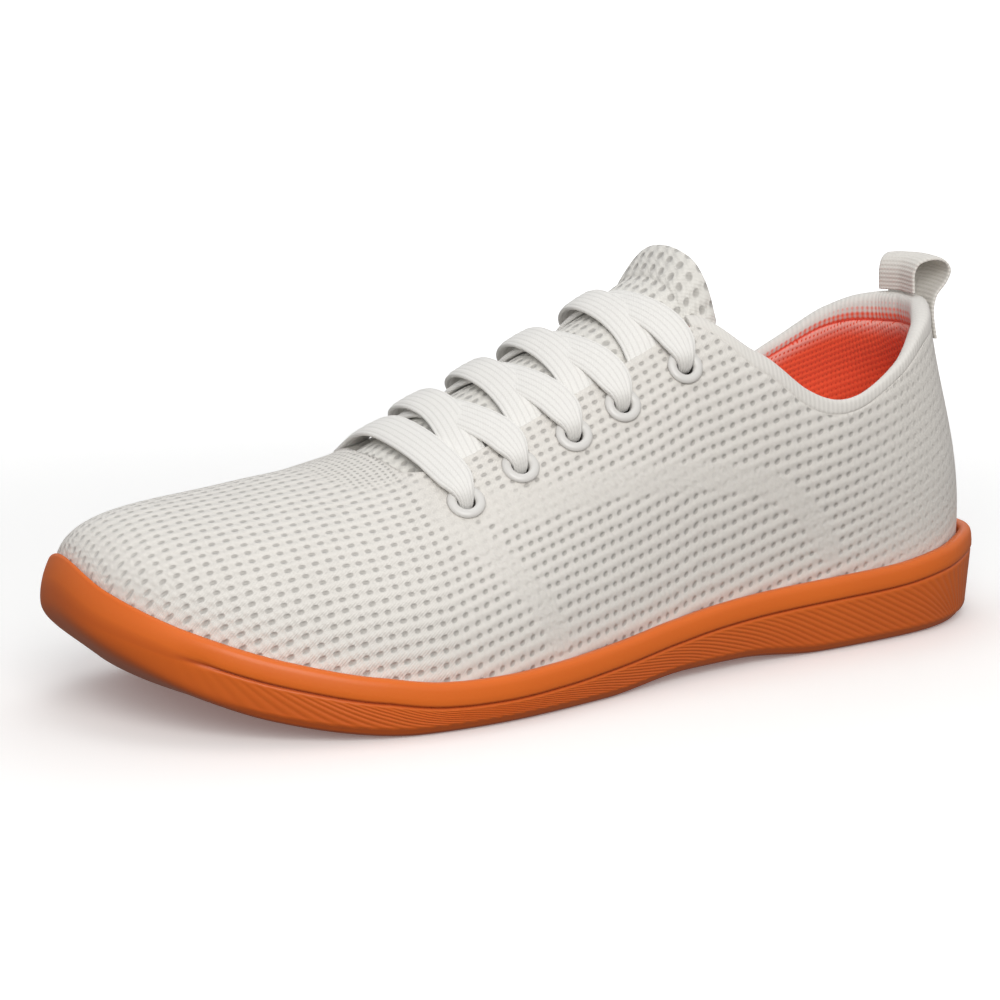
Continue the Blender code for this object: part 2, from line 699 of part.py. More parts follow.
def make_laces():
    short = FLANGE + 0.6
    first, arc = EYELETS[0]
    lace_strip("lace_bar", (first, arc - short), (first, short - arc), 0.0)
    for k in range(len(EYELETS) - 1):
        section, _ = EYELETS[k]
        target, far = EYELETS[k + 1]
        leave = section + 0.55 * (target - section)
        edge = float(value("cut", np.array([leave]))[0]) + 1.5
        under = lace_strip(f"lace_cross_{k + 1}", (leave, edge), (target, short - far), 0.0)
        above = lace_strip(f"lace_over_{k + 1}", (leave, -edge), (target, far - short), LACE_THICK - 0.3)
        apply_later(under, above, "UNION")


start_empty()
make_outsole()
make_insole()
cut_eyelet_holes(make_upper())
make_tongue()
make_binding()
make_pull_loop()
make_eyelets()
make_laces()
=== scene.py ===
"""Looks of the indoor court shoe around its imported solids.

Blender works in metres; the tables here are in millimetres, +X to the toe, +Y to the outer side.
"""
import json
import math

import bmesh
import bpy
import numpy as np
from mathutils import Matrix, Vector

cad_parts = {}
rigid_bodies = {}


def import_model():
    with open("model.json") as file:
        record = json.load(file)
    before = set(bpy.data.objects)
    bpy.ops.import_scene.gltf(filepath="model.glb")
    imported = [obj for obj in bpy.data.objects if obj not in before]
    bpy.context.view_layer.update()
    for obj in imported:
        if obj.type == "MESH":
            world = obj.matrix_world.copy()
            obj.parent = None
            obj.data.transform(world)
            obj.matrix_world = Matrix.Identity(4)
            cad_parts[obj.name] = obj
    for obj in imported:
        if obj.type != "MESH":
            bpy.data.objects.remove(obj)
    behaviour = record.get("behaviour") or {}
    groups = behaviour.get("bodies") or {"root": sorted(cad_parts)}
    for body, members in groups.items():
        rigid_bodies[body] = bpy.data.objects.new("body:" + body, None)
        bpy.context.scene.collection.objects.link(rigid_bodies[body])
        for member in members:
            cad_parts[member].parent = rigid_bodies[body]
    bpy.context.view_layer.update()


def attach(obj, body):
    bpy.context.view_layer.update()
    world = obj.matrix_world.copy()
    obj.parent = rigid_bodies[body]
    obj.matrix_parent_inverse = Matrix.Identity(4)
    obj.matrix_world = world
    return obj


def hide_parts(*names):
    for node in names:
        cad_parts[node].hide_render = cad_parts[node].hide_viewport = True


MM = 0.001

# Same sections as the part: sole outline and rim, then the ends of the ribs of the upper.
SECTIONS = [
    # x,     outer, inner, rim,  end_x, end_y, end_z, rise, cut, strip
    (-140.5, -3.0, -3.0, 25.0, -121.0, 0.0, 100.0, 86.0, 14.0, 8.0),
    (-137.2, 7.5, -13.5, 25.2, -119.6, 7.5, 100.0, 86.0, 14.3, 8.0),
    (-128.5, 17.5, -23.5, 25.4, -115.0, 15.0, 100.0, 85.0, 14.6, 7.0),
    (-114.0, 27.0, -31.5, 24.0, -107.0, 22.0, 100.0, 82.0, 17.0, 5.4),
    (-91.0, 32.5, -35.0, 22.0, -92.5, 26.0, 100.0, 76.0, 26.5, 4.2),
    (-72.0, 34.5, -35.0, 21.5, -76.0, 22.5, 100.0, 64.0, 35.5, 4.0),
    (-58.0, 35.3, -34.6, 21.0, -61.0, 14.0, 101.0, 42.0, 38.5, 5.2),
    (-44.0, 36.4, -34.5, 20.4, -44.0, 4.5, 103.5, 14.0, 37.5, 6.2),
    (-29.0, 38.3, -35.8, 19.4, -27.0, 0.0, 101.2, 0.0, 25.0, 4.5),
    (-14.0, 40.9, -37.8, 17.8, -10.0, 0.0, 94.2, 0.0, 24.5, 0.0),
    (8.0, 46.0, -42.5, 15.2, 14.0, 0.0, 83.5, 0.0, 25.0, 0.0),
    (32.0, 51.5, -48.0, 13.5, 37.0, 0.0, 73.0, 0.0, 26.0, 0.0),
    (47.0, 53.7, -51.3, 13.0, 50.0, 0.0, 67.0, 0.0, 25.5, 0.0),
    (57.0, 54.1, -52.9, 13.1, 58.0, 0.0, 63.4, 0.0, 21.0, 0.0),
    (62.5, 54.0, -53.4, 13.4, 61.5, 0.0, 61.9, 0.0, 0.0, 0.0),
    (80.0, 51.8, -54.0, 16.0, 75.0, 0.0, 58.7, 0.0, 0.0, 0.0),
    (105.5, 42.5, -51.5, 21.8, 94.0, 0.0, 55.3, 0.0, 0.0, 0.0),
    (125.5, 28.0, -44.0, 29.0, 108.0, 0.0, 53.4, 0.0, 0.0, 0.0),
    (138.0, 9.5, -31.0, 36.0, 115.0, 0.0, 52.6, 0.0, 0.0, 0.0),
    (141.5, -13.0, -13.0, 41.5, 118.0, 0.0, 52.1, 0.0, 0.0, 0.0),
]
COLUMNS = ("x", "outer", "inner", "rim", "end_x", "end_y", "end_z", "rise", "cut", "strip")
CORNER = 8          # row of the eyestay corner
WELD = 14           # row where the throat ends and both sides meet
MIDDLE = [(-142.0, -3.0), (-60.0, -1.0), (0.0, 1.0), (50.0, -1.0), (90.0, -7.0), (142.0, -13.0)]
WALL = 2.0
FIT = 0.3           # between pieces that meet
LIP = 2.8           # thickness of the sole's rim
UPPER_INSET = LIP + FIT + 0.55
TUCK = 5.0          # how far the upper goes down inside the rim
FOOTBED = 7.0
GROOVE = 6.2        # below the rim
RIB_SLIDE = 24.0    # how far a side rib leans along the sole
TOE_FROM = 70.0     # where the toe spring starts
INSOLE_THICK = 3.5
TONGUE_THICK = 3.2
TONGUE_GAP = 0.7
TONGUE = [
    # section, beyond, half, lift
    (14.7, 0.0, 15.0, -1.6),
    (14.2, 0.0, 20.0, -1.5),
    (13.6, 0.0, 24.0, -1.3),
    (13.0, 0.0, 27.0, -0.9),
    (12.0, 0.0, 31.0, -0.3),
    (11.4, 0.0, 31.0, 0.0),
    (10.7, 0.0, 31.0, 0.0),
    (10.0, 0.0, 31.0, 0.0),
    (9.4, 0.0, 31.0, 0.3),
    (8.8, 0.0, 31.0, 1.0),
    (8.4, 0.0, 31.0, 2.2),
    (8.0, 0.0, 30.0, 3.8),
    (8.0, 4.5, 28.0, 5.4),
    (8.0, 8.0, 26.0, 6.0),
    (8.0, 10.0, 19.0, 5.8),
]
BEYOND = (-0.78, 0.0, 0.62)
SLANT = 0.045
EYELETS = [(11.95, 38.0), (10.8, 35.5), (10.1, 34.5), (9.45, 34.0), (8.4, 34.0)]
HOLE = 2.4
BARREL = 3.1
FLANGE = 5.0
PAD_AT = (0.0, 2.0, 3.0, 4.0, 5.0, 8.0)
PAD = (5.5, 5.5, 4.8, 3.0, 1.95, 1.9)
LOOP_REACH = 1.25
LOOP_PATH = [(1.4, -13.0), (1.5, -6.0), (2.8, -0.5), (6.2, 3.4), (7.7, 6.6), (6.6, 9.2),
             (3.0, 10.4), (-1.0, 9.6), (-3.1, 6.0), (-3.4, 1.0)]
LOOP_THICK = 1.3

# How finely the pieces are drawn here.
SOLE_AROUND = 1472
SOLE_UP = 14
INSOLE_AROUND = 320
UPPER_AROUND = 480
UPPER_UP = 88
LINING_UP = 36
TONGUE_ROWS = 96
TONGUE_ACROSS = 56
LACE_STEPS = 72
EYELET_AROUND = 36

# Detail that the solids leave out.
SOLE_RIBS = 184
RIB_DEEP = 0.2
GROOVE_DEEP = 0.75
SOLE_FOOT = [
    # out, more at toe, more at heel, height; from the underside up
    (-14.0, 0.0, 0.0, 0.0),
    (-4.2, -4.0, -1.6, 0.0),
    (-3.0, -3.9, -1.6, 0.25),
    (-1.9, -3.6, -1.6, 0.8),
    (-1.3, -3.0, -1.4, 1.4),
    (-0.9, -2.4, -1.2, 2.2),
]
SOLE_BAND = [
    # out, share of groove, in at toe, from rim, more at toe, painted shade, more painted shade in groove;
    # from the groove up
    (0.9, 0.2, 0.4, -GROOVE - 0.35, -4.5, 0.5, 0.0),
    (0.9, 1.0, 0.4, -GROOVE - 0.12, -4.0, 0.5, 0.9),
    (0.9, 1.0, 0.5, -GROOVE + 0.12, -3.0, 0.4, 1.0),
    (1.0, 0.1, 0.7, -GROOVE + 0.35, -2.2, 0.25, 0.0),
    (1.15, 0.0, 1.0, -GROOVE + 0.9, -1.5, 0.0, 0.0),
    (1.15, 0.0, 1.4, -4.0, 0.0, 0.0, 0.0),
    (0.95, 0.0, 1.9, -1.9, 0.0, 0.0, 0.0),
    (0.65, 0.0, 1.8, -0.9, 0.0, 0.0, 0.0),
    (0.2, 0.0, 1.6, -0.35, 0.0, 0.0, 0.0),
    (-0.4, 0.0, 1.4, -0.08, 0.0, 0.0, 0.0),
    (-1.1, 0.0, 1.2, 0.0, 0.0, 0.0, 0.0),
    (-LIP + 0.4, 0.0, 0.3, -0.3, 0.0, 0.1, 0.0),
    (-LIP, 0.0, 0.0, -1.2, 0.0, 0.3, 0.0),
]
TIP_NEAR = 9.0      # around the toe tip, where the ribs of the upper meet
TIP_MERGE = 0.3
TIP_UP = (0.127, 0.0, 0.992)
RED_FROM = 2        # rows of the collar's rolled edge after this are red
EYELET_ROOM = 3.3   # knit and lining are left out this near to the middle of an eyelet
LINING_ROOM = 3.6
PITCH = 3.5         # from one knit hole to the next
TONGUE_PITCH = 3.9
UPPER_HOLE = (0.24, 0.19)
TONGUE_HOLE = (0.27, 0.22)
TONGUE_CROWN = 1.8
LACE_WIDE = 10.2
LACE_THICK = 2.0
FAR_CROSS = (0.45, 0.25, 0.2, 0.1)  # where the upper lace of each crossing passes the middle
# Knit bands almost without holes on the side of the upper: middle line (x, z) and half width.
BANDS = [
    ([(55.0, 55.0), (39.0, 52.0), (23.0, 53.5), (4.0, 55.5), (-22.0, 54.5), (-44.0, 50.5),
      (-58.0, 42.0), (-68.0, 29.0)], 3.6),
    ([(55.0, 52.0), (44.0, 40.4), (34.0, 29.0), (28.0, 18.0)], 3.4),
]
CAMERA_AT = (0.3706, 0.6091, 0.1827)
LOOK_AT = (0.0172, -0.003, 0.0453)
LENS = 95.6
LAMPS = [
    # name, place, size, power, colour
    ("key", (0.40, 0.92, 0.62), 0.7, 8.6, (1.0, 0.985, 0.96)),
    ("top", (0.0, -0.1, 1.1), 0.5, 1.0, (1.0, 1.0, 1.0)),
    ("rim", (-0.5, -0.7, 0.7), 0.6, 1.2, (0.96, 0.98, 1.0)),
]
LAMPS_AIM = (0.02, 0.0, 0.04)
# Floor that rises far out: distance from the middle and height.
FLOOR_BOWL = [
    (400.0, 0.0), (900.0, 0.0), (1600.0, 0.0), (2200.0, 8.0), (2600.0, 60.0), (2900.0, 220.0),
    (3100.0, 520.0), (3200.0, 1000.0), (3230.0, 1600.0),
]


def column(name):
    return np.array([row[COLUMNS.index(name)] for row in SECTIONS], float)


def smooth(low, high, value):
    t = np.clip((np.asarray(value, float) - low) / (high - low), 0.0, 1.0)
    return t * t * (3.0 - 2.0 * t)


def unit(rows):
    return rows / np.linalg.norm(rows, axis=-1, keepdims=True)


def ease(rows, times):
    """Even out rows that follow each other, keeping the first and the last."""
    for _ in range(times):
        rows[1:-1] = 0.5 * rows[1:-1] + 0.25 * (rows[:-2] + rows[2:])


def distances(line):
    """How far each point of a line is from its start, along the line."""
    return np.concatenate([[0.0], np.cumsum(np.linalg.norm(np.diff(line, axis=0), axis=1))])


def along(knots, values, where, level=False):
    """Curve through the values that does not overshoot between rows; level ends it flat."""
    knots = np.asarray(knots, float)
    values = np.asarray(values, float)
    step = np.diff(knots)
    slope = np.diff(values) / step
    tangent = np.zeros(len(knots))
    left, right = slope[:-1], slope[1:]
    total = left + right
    mean = 2.0 * left * right / np.where(total == 0.0, 1.0, total)
    tangent[1:-1] = np.where(left * right <= 0.0, 0.0, mean)
    tangent[0], tangent[-1] = slope[0], (0.0 if level else slope[-1])
    where = np.clip(np.asarray(where, float), knots[0], knots[-1])
    k = np.clip(np.searchsorted(knots, where, side="right") - 1, 0, len(step) - 1)
    t = (where - knots[k]) / step[k]
    h = step[k]
    keep = (1 + 2 * t) * (1 - t) ** 2 * values[k] + t * t * (3 - 2 * t) * values[k + 1]
    bend = t * (1 - t) ** 2 * h * tangent[k] - t * t * (1 - t) * h * tangent[k + 1]
    return keep + bend


def ring_spline(points):
    """Closed smooth curve; returns the knots and a function giving points on it."""
    points = np.asarray(points, float)
    count = len(points)
    chord = np.linalg.norm(np.roll(points, -1, 0) - points, axis=1)
    knots = np.concatenate([[0.0], np.cumsum(chord)])
    matrix = np.zeros((count, count))
    right = np.zeros((count, 2))
    for i in range(count):
        before, after = chord[i - 1], chord[i]
        matrix[i, i - 1] += before
        matrix[i, i] += 2.0 * (before + after)
        matrix[i, (i + 1) % count] += after
        ahead = (points[(i + 1) % count] - points[i]) / after
        behind = (points[i] - points[i - 1]) / before
        right[i] = 6.0 * (ahead - behind)
    curve = np.linalg.solve(matrix, right)

    def at(where):
        where = np.mod(where, knots[-1])
        k = np.clip(np.searchsorted(knots, where, side="right") - 1, 0, count - 1)
        n = (k + 1) % count
        h = chord[k][:, None]
        a = (knots[k + 1] - where)[:, None] / h
        b = 1.0 - a
        bow = ((a ** 3 - a) * curve[k] + (b ** 3 - b) * curve[n]) * h * h / 6.0
        return a * points[k] + b * points[n] + bow

    return knots, at


LAST = len(SECTIONS) - 1
NUMBERS = np.arange(LAST + 1.0)
X = column("x")
OUTER_SIDE = np.stack([X, column("outer")], -1)
INNER_SIDE = np.stack([X, column("inner")], -1)
RING = np.concatenate([OUTER_SIDE, INNER_SIDE[LAST - 1:0:-1]])
KNOTS, ring_at = ring_spline(RING)
OUTER_KNOTS = KNOTS[:LAST + 1]
INNER_KNOTS = KNOTS[LAST:][::-1]


def sections_for(half):
    even = np.linspace(OUTER_KNOTS[0], OUTER_KNOTS[-1], half + 1)
    return np.interp(even, OUTER_KNOTS, NUMBERS)


def outline(section, side, slide=0.0):
    """Points and outward normals of the sole's plan outline at section numbers."""
    section = np.asarray(section, float)
    if slide:
        reach = OUTER_KNOTS[-1]
        place = np.interp(section, NUMBERS, OUTER_KNOTS)
        part = smooth(0.06, 0.22, place / reach) * (1.0 - smooth(0.72, 0.92, place / reach))
        section = np.interp(place - slide * part, OUTER_KNOTS, NUMBERS)
    knots = OUTER_KNOTS if side > 0 else INNER_KNOTS
    where = np.interp(section, NUMBERS, knots)
    run = unit(ring_at(where + 0.05) - ring_at(where - 0.05))
    normal = np.stack([-run[:, 1], run[:, 0]], -1)
    return ring_at(where), normal, section


def value(name, section):
    return along(NUMBERS, column(name), section, name == "rim")


def one_value(name, section):
    return float(value(name, np.array([section]))[0])


def base_height(x):
    x = np.asarray(x, float)
    arch = 2.2 * smooth(-66.0, -36.0, x) * (1.0 - smooth(-18.0, 12.0, x))
    spring = 0.012 * np.maximum(x - TOE_FROM, 0.0) ** 1.7
    heel = 1.5 * (1.0 - smooth(-141.0, -122.0, x))
    return arch + spring + heel


def loop(count, slide=0.0):
    """Whole way round: outer side heel to toe, then inner side toe to heel."""
    section = sections_for(count // 2)
    p_out, n_out, s_out = outline(section, 1, slide)
    p_in, n_in, s_in = outline(section[1:-1][::-1], -1, slide)
    return np.concatenate([p_out, p_in]), np.concatenate([n_out, n_in]), np.concatenate([s_out, s_in])


def centre_y(x):
    table = np.array(MIDDLE)
    return along(table[:, 0], table[:, 1], x)


def rib_curve(section, side, count=60):
    """Full rib from inside the rim to the middle of the instep or past the collar."""
    place = np.array([float(section)])
    point, normal, _ = outline(place, side)
    point, normal = point[0], normal[0]
    start = np.array([*(point - normal * UPPER_INSET), one_value("rim", section) - TUCK])
    end_x = one_value("end_x", section)
    end_y = centre_y(end_x) + side * one_value("end_y", section)
    end = np.array([end_x, float(end_y), one_value("end_z", section)])
    rise = math.radians(one_value("rise", section))
    toe = float(smooth(WELD + 2.5, LAST, section)) * math.pi / 2.0
    collar = 1.0 - float(smooth(CORNER - 2.0, CORNER, section))
    inward = unit(-normal * collar + np.array([0.0, -float(side)]) * (1.0 - collar))
    level = np.array([*inward, 0.0]) * math.cos(toe) + np.array([-0.98, 0.0, 0.12]) * math.sin(toe)
    arrive = level * math.cos(rise) + np.array([0.0, 0.0, math.sin(rise)])
    lean = math.radians(3.0 + 3.0 * float(smooth(1.0, 4.0, section)))
    leave = np.array([*(normal * math.sin(lean)), math.cos(lean)])
    reach = np.linalg.norm(end - start)
    one = start + leave * reach * 0.42
    two = end - arrive * reach * 0.40
    t = np.linspace(0.0, 1.0, count)[:, None]
    return (1 - t) ** 3 * start + 3 * (1 - t) ** 2 * t * one + 3 * (1 - t) * t * t * two + t ** 3 * end


def arc_from_end(curve):
    length = np.linalg.norm(np.diff(curve, axis=0), axis=1)
    return np.concatenate([np.cumsum(length[::-1])[::-1], [0.0]])


def on_rib(curve, arcs):
    """Points at distances measured back from the rib's end."""
    arc = arc_from_end(curve)[::-1]
    flipped = curve[::-1]
    return np.column_stack([np.interp(arcs, arc, flipped[:, k]) for k in range(3)])


def rib_point(section, side, arc):
    return on_rib(rib_curve(section, side), np.array([arc]))[0]


def on_instep(section, arc):
    return rib_point(section, 1 if arc >= 0.0 else -1, abs(arc))


def instep_normal(section, arc):
    ahead = on_instep(section + 0.15, arc) - on_instep(section - 0.15, arc)
    across = on_instep(section, arc + 0.8) - on_instep(section, arc - 0.8)
    return unit(np.cross(ahead, across))


def rib_frame(section, side, arc):
    """Point, outward normal and upward run of the upper's shape."""
    curve = rib_curve(section, side)
    point, above = on_rib(curve, np.array([arc, max(arc - 1.0, 0.0)]))
    below = on_rib(curve, np.array([arc + 1.0]))[0]
    up = unit(above - below)
    step = 0.1
    if section < step:
        run = rib_point(step, 1, arc) - rib_point(step, -1, arc)
    else:
        run = (rib_point(section + step, side, arc) - rib_point(section - step, side, arc)) * side
    return point, unit(np.cross(up, run)), up


class Sheet:
    """Points, faces, knit coordinates and per-point values of one piece."""

    def __init__(self):
        self.points = []
        self.faces = []
        self.slots = []
        self.uv = []
        self.extra = {}
        self.count = 0

    def grid(self, points, uv=None, **extra):
        rows, wide = points.shape[:2]
        index = np.arange(rows * wide).reshape(rows, wide) + self.count
        self.points.append(points.reshape(-1, 3))
        self.uv.append(np.zeros((rows * wide, 2)) if uv is None else np.asarray(uv, float).reshape(-1, 2))
        for name in sorted(set(self.extra) | set(extra)):
            kept = self.extra.setdefault(name, [np.zeros(self.count)] if self.count else [])
            kept.append(np.asarray(extra.get(name, np.zeros(rows * wide)), float).reshape(-1))
        self.count += rows * wide
        return index

    def quads(self, index, slot=0, wrap=False, keep=None):
        """Faces of a grid; wrap joins the last row to the first, keep says which faces are made."""
        rows = len(index) if wrap else len(index) - 1
        for i in range(rows):
            one, two = index[i], index[(i + 1) % len(index)]
            for j in range(index.shape[1] - 1):
                if keep is None or keep[i, j]:
                    self.faces.append((one[j], two[j], two[j + 1], one[j + 1]))
                    self.slots.append(slot)

    def fan(self, ring, slot=0):
        self.faces.append(tuple(ring))
        self.slots.append(slot)

    def plate(self, one, two):
        """Faces of two grids and of the edge between them."""
        self.quads(one)
        self.quads(two[:, ::-1])
        for strip in ((one[:, 0], two[:, 0]), (two[:, -1], one[:, -1]), (two[0], one[0]), (one[-1], two[-1])):
            self.quads(np.stack(strip, 1))

    def rod(self, index):
        """Faces of a row of rings, closed at both ends."""
        self.quads(np.concatenate([index, index[:, :1]], 1))
        self.fan(index[0])
        self.fan(index[-1][::-1])

    def object(self, name, materials, weld=0.0, tip=None):
        """Mesh object of the sheet; around tip, thin slivers are merged."""
        points = np.concatenate(self.points) * MM
        mesh = bpy.data.meshes.new(name)
        faces = [tuple(int(v) for v in f) for f in self.faces]
        mesh.from_pydata([tuple(p) for p in points], [], faces)
        for made in materials:
            mesh.materials.append(made)
        mesh.polygons.foreach_set("material_index", np.array(self.slots, np.int32))
        mesh.polygons.foreach_set("use_smooth", np.ones(len(faces), bool))
        flat = np.concatenate(self.uv)
        corner = np.zeros(len(mesh.loops), np.int32)
        mesh.loops.foreach_get("vertex_index", corner)
        layer = mesh.uv_layers.new(name="knit")
        layer.data.foreach_set("uv", flat[corner].astype(np.float32).ravel())
        for key, parts in self.extra.items():
            data = mesh.attributes.new(key, "FLOAT", "POINT")
            data.data.foreach_set("value", np.concatenate(parts).astype(np.float32))
        mesh.update()
        made = bmesh.new()
        made.from_mesh(mesh)
        if weld:
            bmesh.ops.remove_doubles(made, verts=made.verts, dist=weld * MM)
        if tip is not None:
            near = [v for v in made.verts if (v.co - Vector(tip) * MM).length < TIP_NEAR * MM]
            bmesh.ops.remove_doubles(made, verts=near, dist=TIP_MERGE * MM)
        loose = [v for v in made.verts if not v.link_faces]
        bmesh.ops.delete(made, geom=loose, context="VERTS")
        bmesh.ops.recalc_face_normals(made, faces=made.faces)
        made.to_mesh(mesh)
        made.free()
        item = bpy.data.objects.new(name, mesh)
        bpy.context.collection.objects.link(item)
        return item


class Tree:
    """Short hand for building one material's nodes."""

    def __init__(self, name, colour, rough, **sockets):
        self.material = bpy.data.materials.new(name)
        self.material.use_nodes = True
        self.tree = self.material.node_tree
        self.shader = self.tree.nodes["Principled BSDF"]
        self.fill(self.shader, Base_Color=(*colour, 1.0), Roughness=rough, **sockets)

    def node(self, kind, **settings):
        made = self.tree.nodes.new(kind)
        for key, setting in settings.items():
            setattr(made, key, setting)
        return made

    def put(self, socket, source):
        if isinstance(source, bpy.types.NodeSocket):
            self.tree.links.new(source, socket)
        else:
            socket.default_value = source

    def fill(self, made, **sockets):
        """Set or link the named inputs of a node."""
        for key, source in sockets.items():
            self.put(made.inputs[key.replace("_", " ")], source)
        return made

    def math(self, operation, first, second=0.0, third=0.0):
        made = self.node("ShaderNodeMath", operation=operation)
        for socket, source in zip(made.inputs, (first, second, third)):
            self.put(socket, source)
        return made.outputs[0]

    def plus(self, one, two):
        return self.math("ADD", one, two)

    def minus(self, one, two):
        return self.math("SUBTRACT", one, two)

    def times(self, one, two):
        return self.math("MULTIPLY", one, two)

    def madd(self, source, factor, more):
        return self.math("MULTIPLY_ADD", source, factor, more)

    def attribute(self, name):
        return self.node("ShaderNodeAttribute", attribute_name=name).outputs["Fac"]

    def uv(self):
        made = self.node("ShaderNodeSeparateXYZ")
        self.put(made.inputs[0], self.node("ShaderNodeUVMap", uv_map="knit").outputs[0])
        return made.outputs[0], made.outputs[1]

    def noise(self, scale, detail=3.0):
        where = self.node("ShaderNodeTexCoord").outputs["Object"]
        made = self.fill(self.node("ShaderNodeTexNoise"), Vector=where, Scale=scale, Detail=detail)
        return made.outputs["Fac"]

    def ramp(self, low, high, source):
        made = self.node("ShaderNodeMapRange", interpolation_type="SMOOTHSTEP")
        return self.fill(made, From_Min=low, From_Max=high, Value=source).outputs["Result"]

    def blend(self, factor, one, two):
        made = self.node("ShaderNodeMix", data_type="RGBA")
        self.put(made.inputs["Factor"], factor)
        for key, source in (("A", one), ("B", two)):
            socket = [s for s in made.inputs if s.name == key and s.type == "RGBA"][0]
            self.put(socket, source if isinstance(source, bpy.types.NodeSocket) else (*source, 1.0))
        return [s for s in made.outputs if s.type == "RGBA"][0]

    def wave(self, source, turns):
        angle = self.math("MULTIPLY", source, turns * 2.0 * math.pi)
        return self.math("COSINE", angle)

    def colour(self, source):
        self.put(self.shader.inputs["Base Color"], source)

    def rough(self, source):
        self.put(self.shader.inputs["Roughness"], source)

    def bump(self, height, strength, distance):
        made = self.node("ShaderNodeBump")
        self.fill(made, Strength=strength, Distance=distance * MM, Height=height)
        self.put(self.shader.inputs["Normal"], made.outputs[0])


KNIT_WHITE = (0.80, 0.775, 0.735)
# Darker knit colour: painted shade in holes, pinholes and row hollows, mixed with random tone.
KNIT_SHADE_AND_TONE = (0.25, 0.235, 0.215)
TONGUE_WHITE = (0.79, 0.775, 0.735)


def knit_material(name, colour, hole_wide, hole_tall):
    """Knit with raised rows, small holes between them and fine yarn; holes, pinholes and the hollows between
    rows are darkened with painted shade.
    """
    t = Tree(name, colour, 0.88, Sheen_Weight=0.25, Sheen_Roughness=0.5)
    u, v = t.uv()
    uneven = t.minus(t.noise(210.0, 1.0), 0.5)
    u = t.madd(uneven, 0.3, u)
    v = t.madd(uneven, 0.22, v)
    holes = t.attribute("holes")
    fine = t.attribute("fine")
    across = t.minus(t.math("FRACT", u), 0.5)
    up = t.minus(t.math("FRACT", v), 0.5)
    wide = t.math("POWER", t.math("DIVIDE", across, hole_wide), 2.0)
    tall = t.math("POWER", t.math("DIVIDE", up, hole_tall), 2.0)
    round_hole = t.ramp(1.6, 0.15, t.plus(wide, tall))
    hole = t.times(round_hole, holes)
    row = t.times(t.wave(v, 1.0), holes)
    yarn = t.wave(t.plus(t.times(u, 2.0), v), 1.0)
    yarn_fine = t.wave(t.minus(t.times(u, 3.0), t.times(v, 4.0)), 1.0)
    pin = t.times(t.ramp(0.5, 1.6, t.plus(t.wave(u, 2.0), t.wave(v, 2.0))), fine)
    rough_noise = t.noise(900.0, 4.0)
    soft_noise = t.noise(60.0, 2.0)
    height = t.times(row, 0.42)
    height = t.madd(hole, -1.0, height)
    height = t.madd(pin, -0.7, height)
    height = t.madd(yarn, 0.14, height)
    height = t.madd(yarn_fine, 0.1, height)
    speckle = t.madd(t.minus(1.0, holes), 0.9, 0.55)
    height = t.madd(rough_noise, speckle, height)
    t.bump(height, 0.7, 0.5)
    # Painted shade: holes and pinholes are darkened, and the hollows between rows a little; the noise terms
    # add random tone.
    shade = t.madd(hole, 0.45, t.times(pin, 0.55))
    shade = t.madd(t.minus(0.5, t.times(row, 0.5)), 0.09, shade)
    shade = t.madd(t.minus(rough_noise, 0.5), 0.22, shade)
    shade = t.madd(t.minus(soft_noise, 0.5), 0.10, shade)
    t.colour(t.blend(shade, colour, KNIT_SHADE_AND_TONE))
    return t.material


def gum_material():
    t = Tree("gum_rubber", (0.78, 0.16, 0.02), 0.45, Coat_Weight=0.04, Coat_Roughness=0.35,
             Specular_IOR_Level=0.35, Subsurface_Weight=0.05, Subsurface_Radius=(0.004, 0.0015, 0.0005))
    cloud = t.noise(35.0, 3.0)
    grain = t.noise(1400.0, 2.0)
    # The low attribute is painted shade: it blends the gum toward a darker red under the sole, low on its
    # side, in the groove and rib hollows, at the toe bumper and inside the rim.
    low = t.attribute("low")
    body = t.blend(cloud, (0.80, 0.170, 0.020), (0.74, 0.145, 0.016))
    t.colour(t.blend(low, body, (0.50, 0.085, 0.014)))
    t.rough(t.madd(cloud, 0.16, 0.34))
    t.bump(grain, 0.12, 0.12)
    return t.material


def lining_material():
    """Orange red mesh that turns white towards the collar edge."""
    t = Tree("lining", (0.8, 0.16, 0.07), 0.9, Sheen_Weight=0.2)
    u, v = t.uv()
    dots = t.plus(t.wave(u, 2.0), t.wave(v, 2.0))
    fade = t.attribute("fade")
    spot = t.ramp(0.9, 1.9, dots)
    # Painted shade: the recessed dots of the mesh are a darker red.
    deep = t.blend(spot, (1.0, 0.12, 0.045), (0.80, 0.075, 0.03))
    pale = t.ramp(0.1, 0.75, t.madd(spot, -0.35, fade))
    t.colour(t.blend(pale, deep, (0.86, 0.84, 0.81)))
    t.bump(t.times(dots, -0.5), 0.5, 0.3)
    return t.material


def lace_material():
    t = Tree("lace", (0.83, 0.82, 0.79), 0.82, Sheen_Weight=0.3)
    u, v = t.uv()
    weave = t.times(t.wave(u, 11.0), t.wave(v, 1.1))
    groove = t.ramp(-0.5, -1.0, t.wave(u, 6.0))
    thread = t.noise(1100.0, 3.0)
    # Painted shade: the lace is darker in its lengthwise grooves; the thread noise adds random tone.
    shade = t.madd(groove, 0.16, t.times(t.minus(thread, 0.4), 0.1))
    t.colour(t.blend(shade, (0.86, 0.85, 0.825), (0.40, 0.38, 0.35)))
    height = t.madd(groove, -0.5, t.times(weave, 0.25))
    t.bump(t.madd(thread, 0.3, height), 0.5, 0.3)
    return t.material


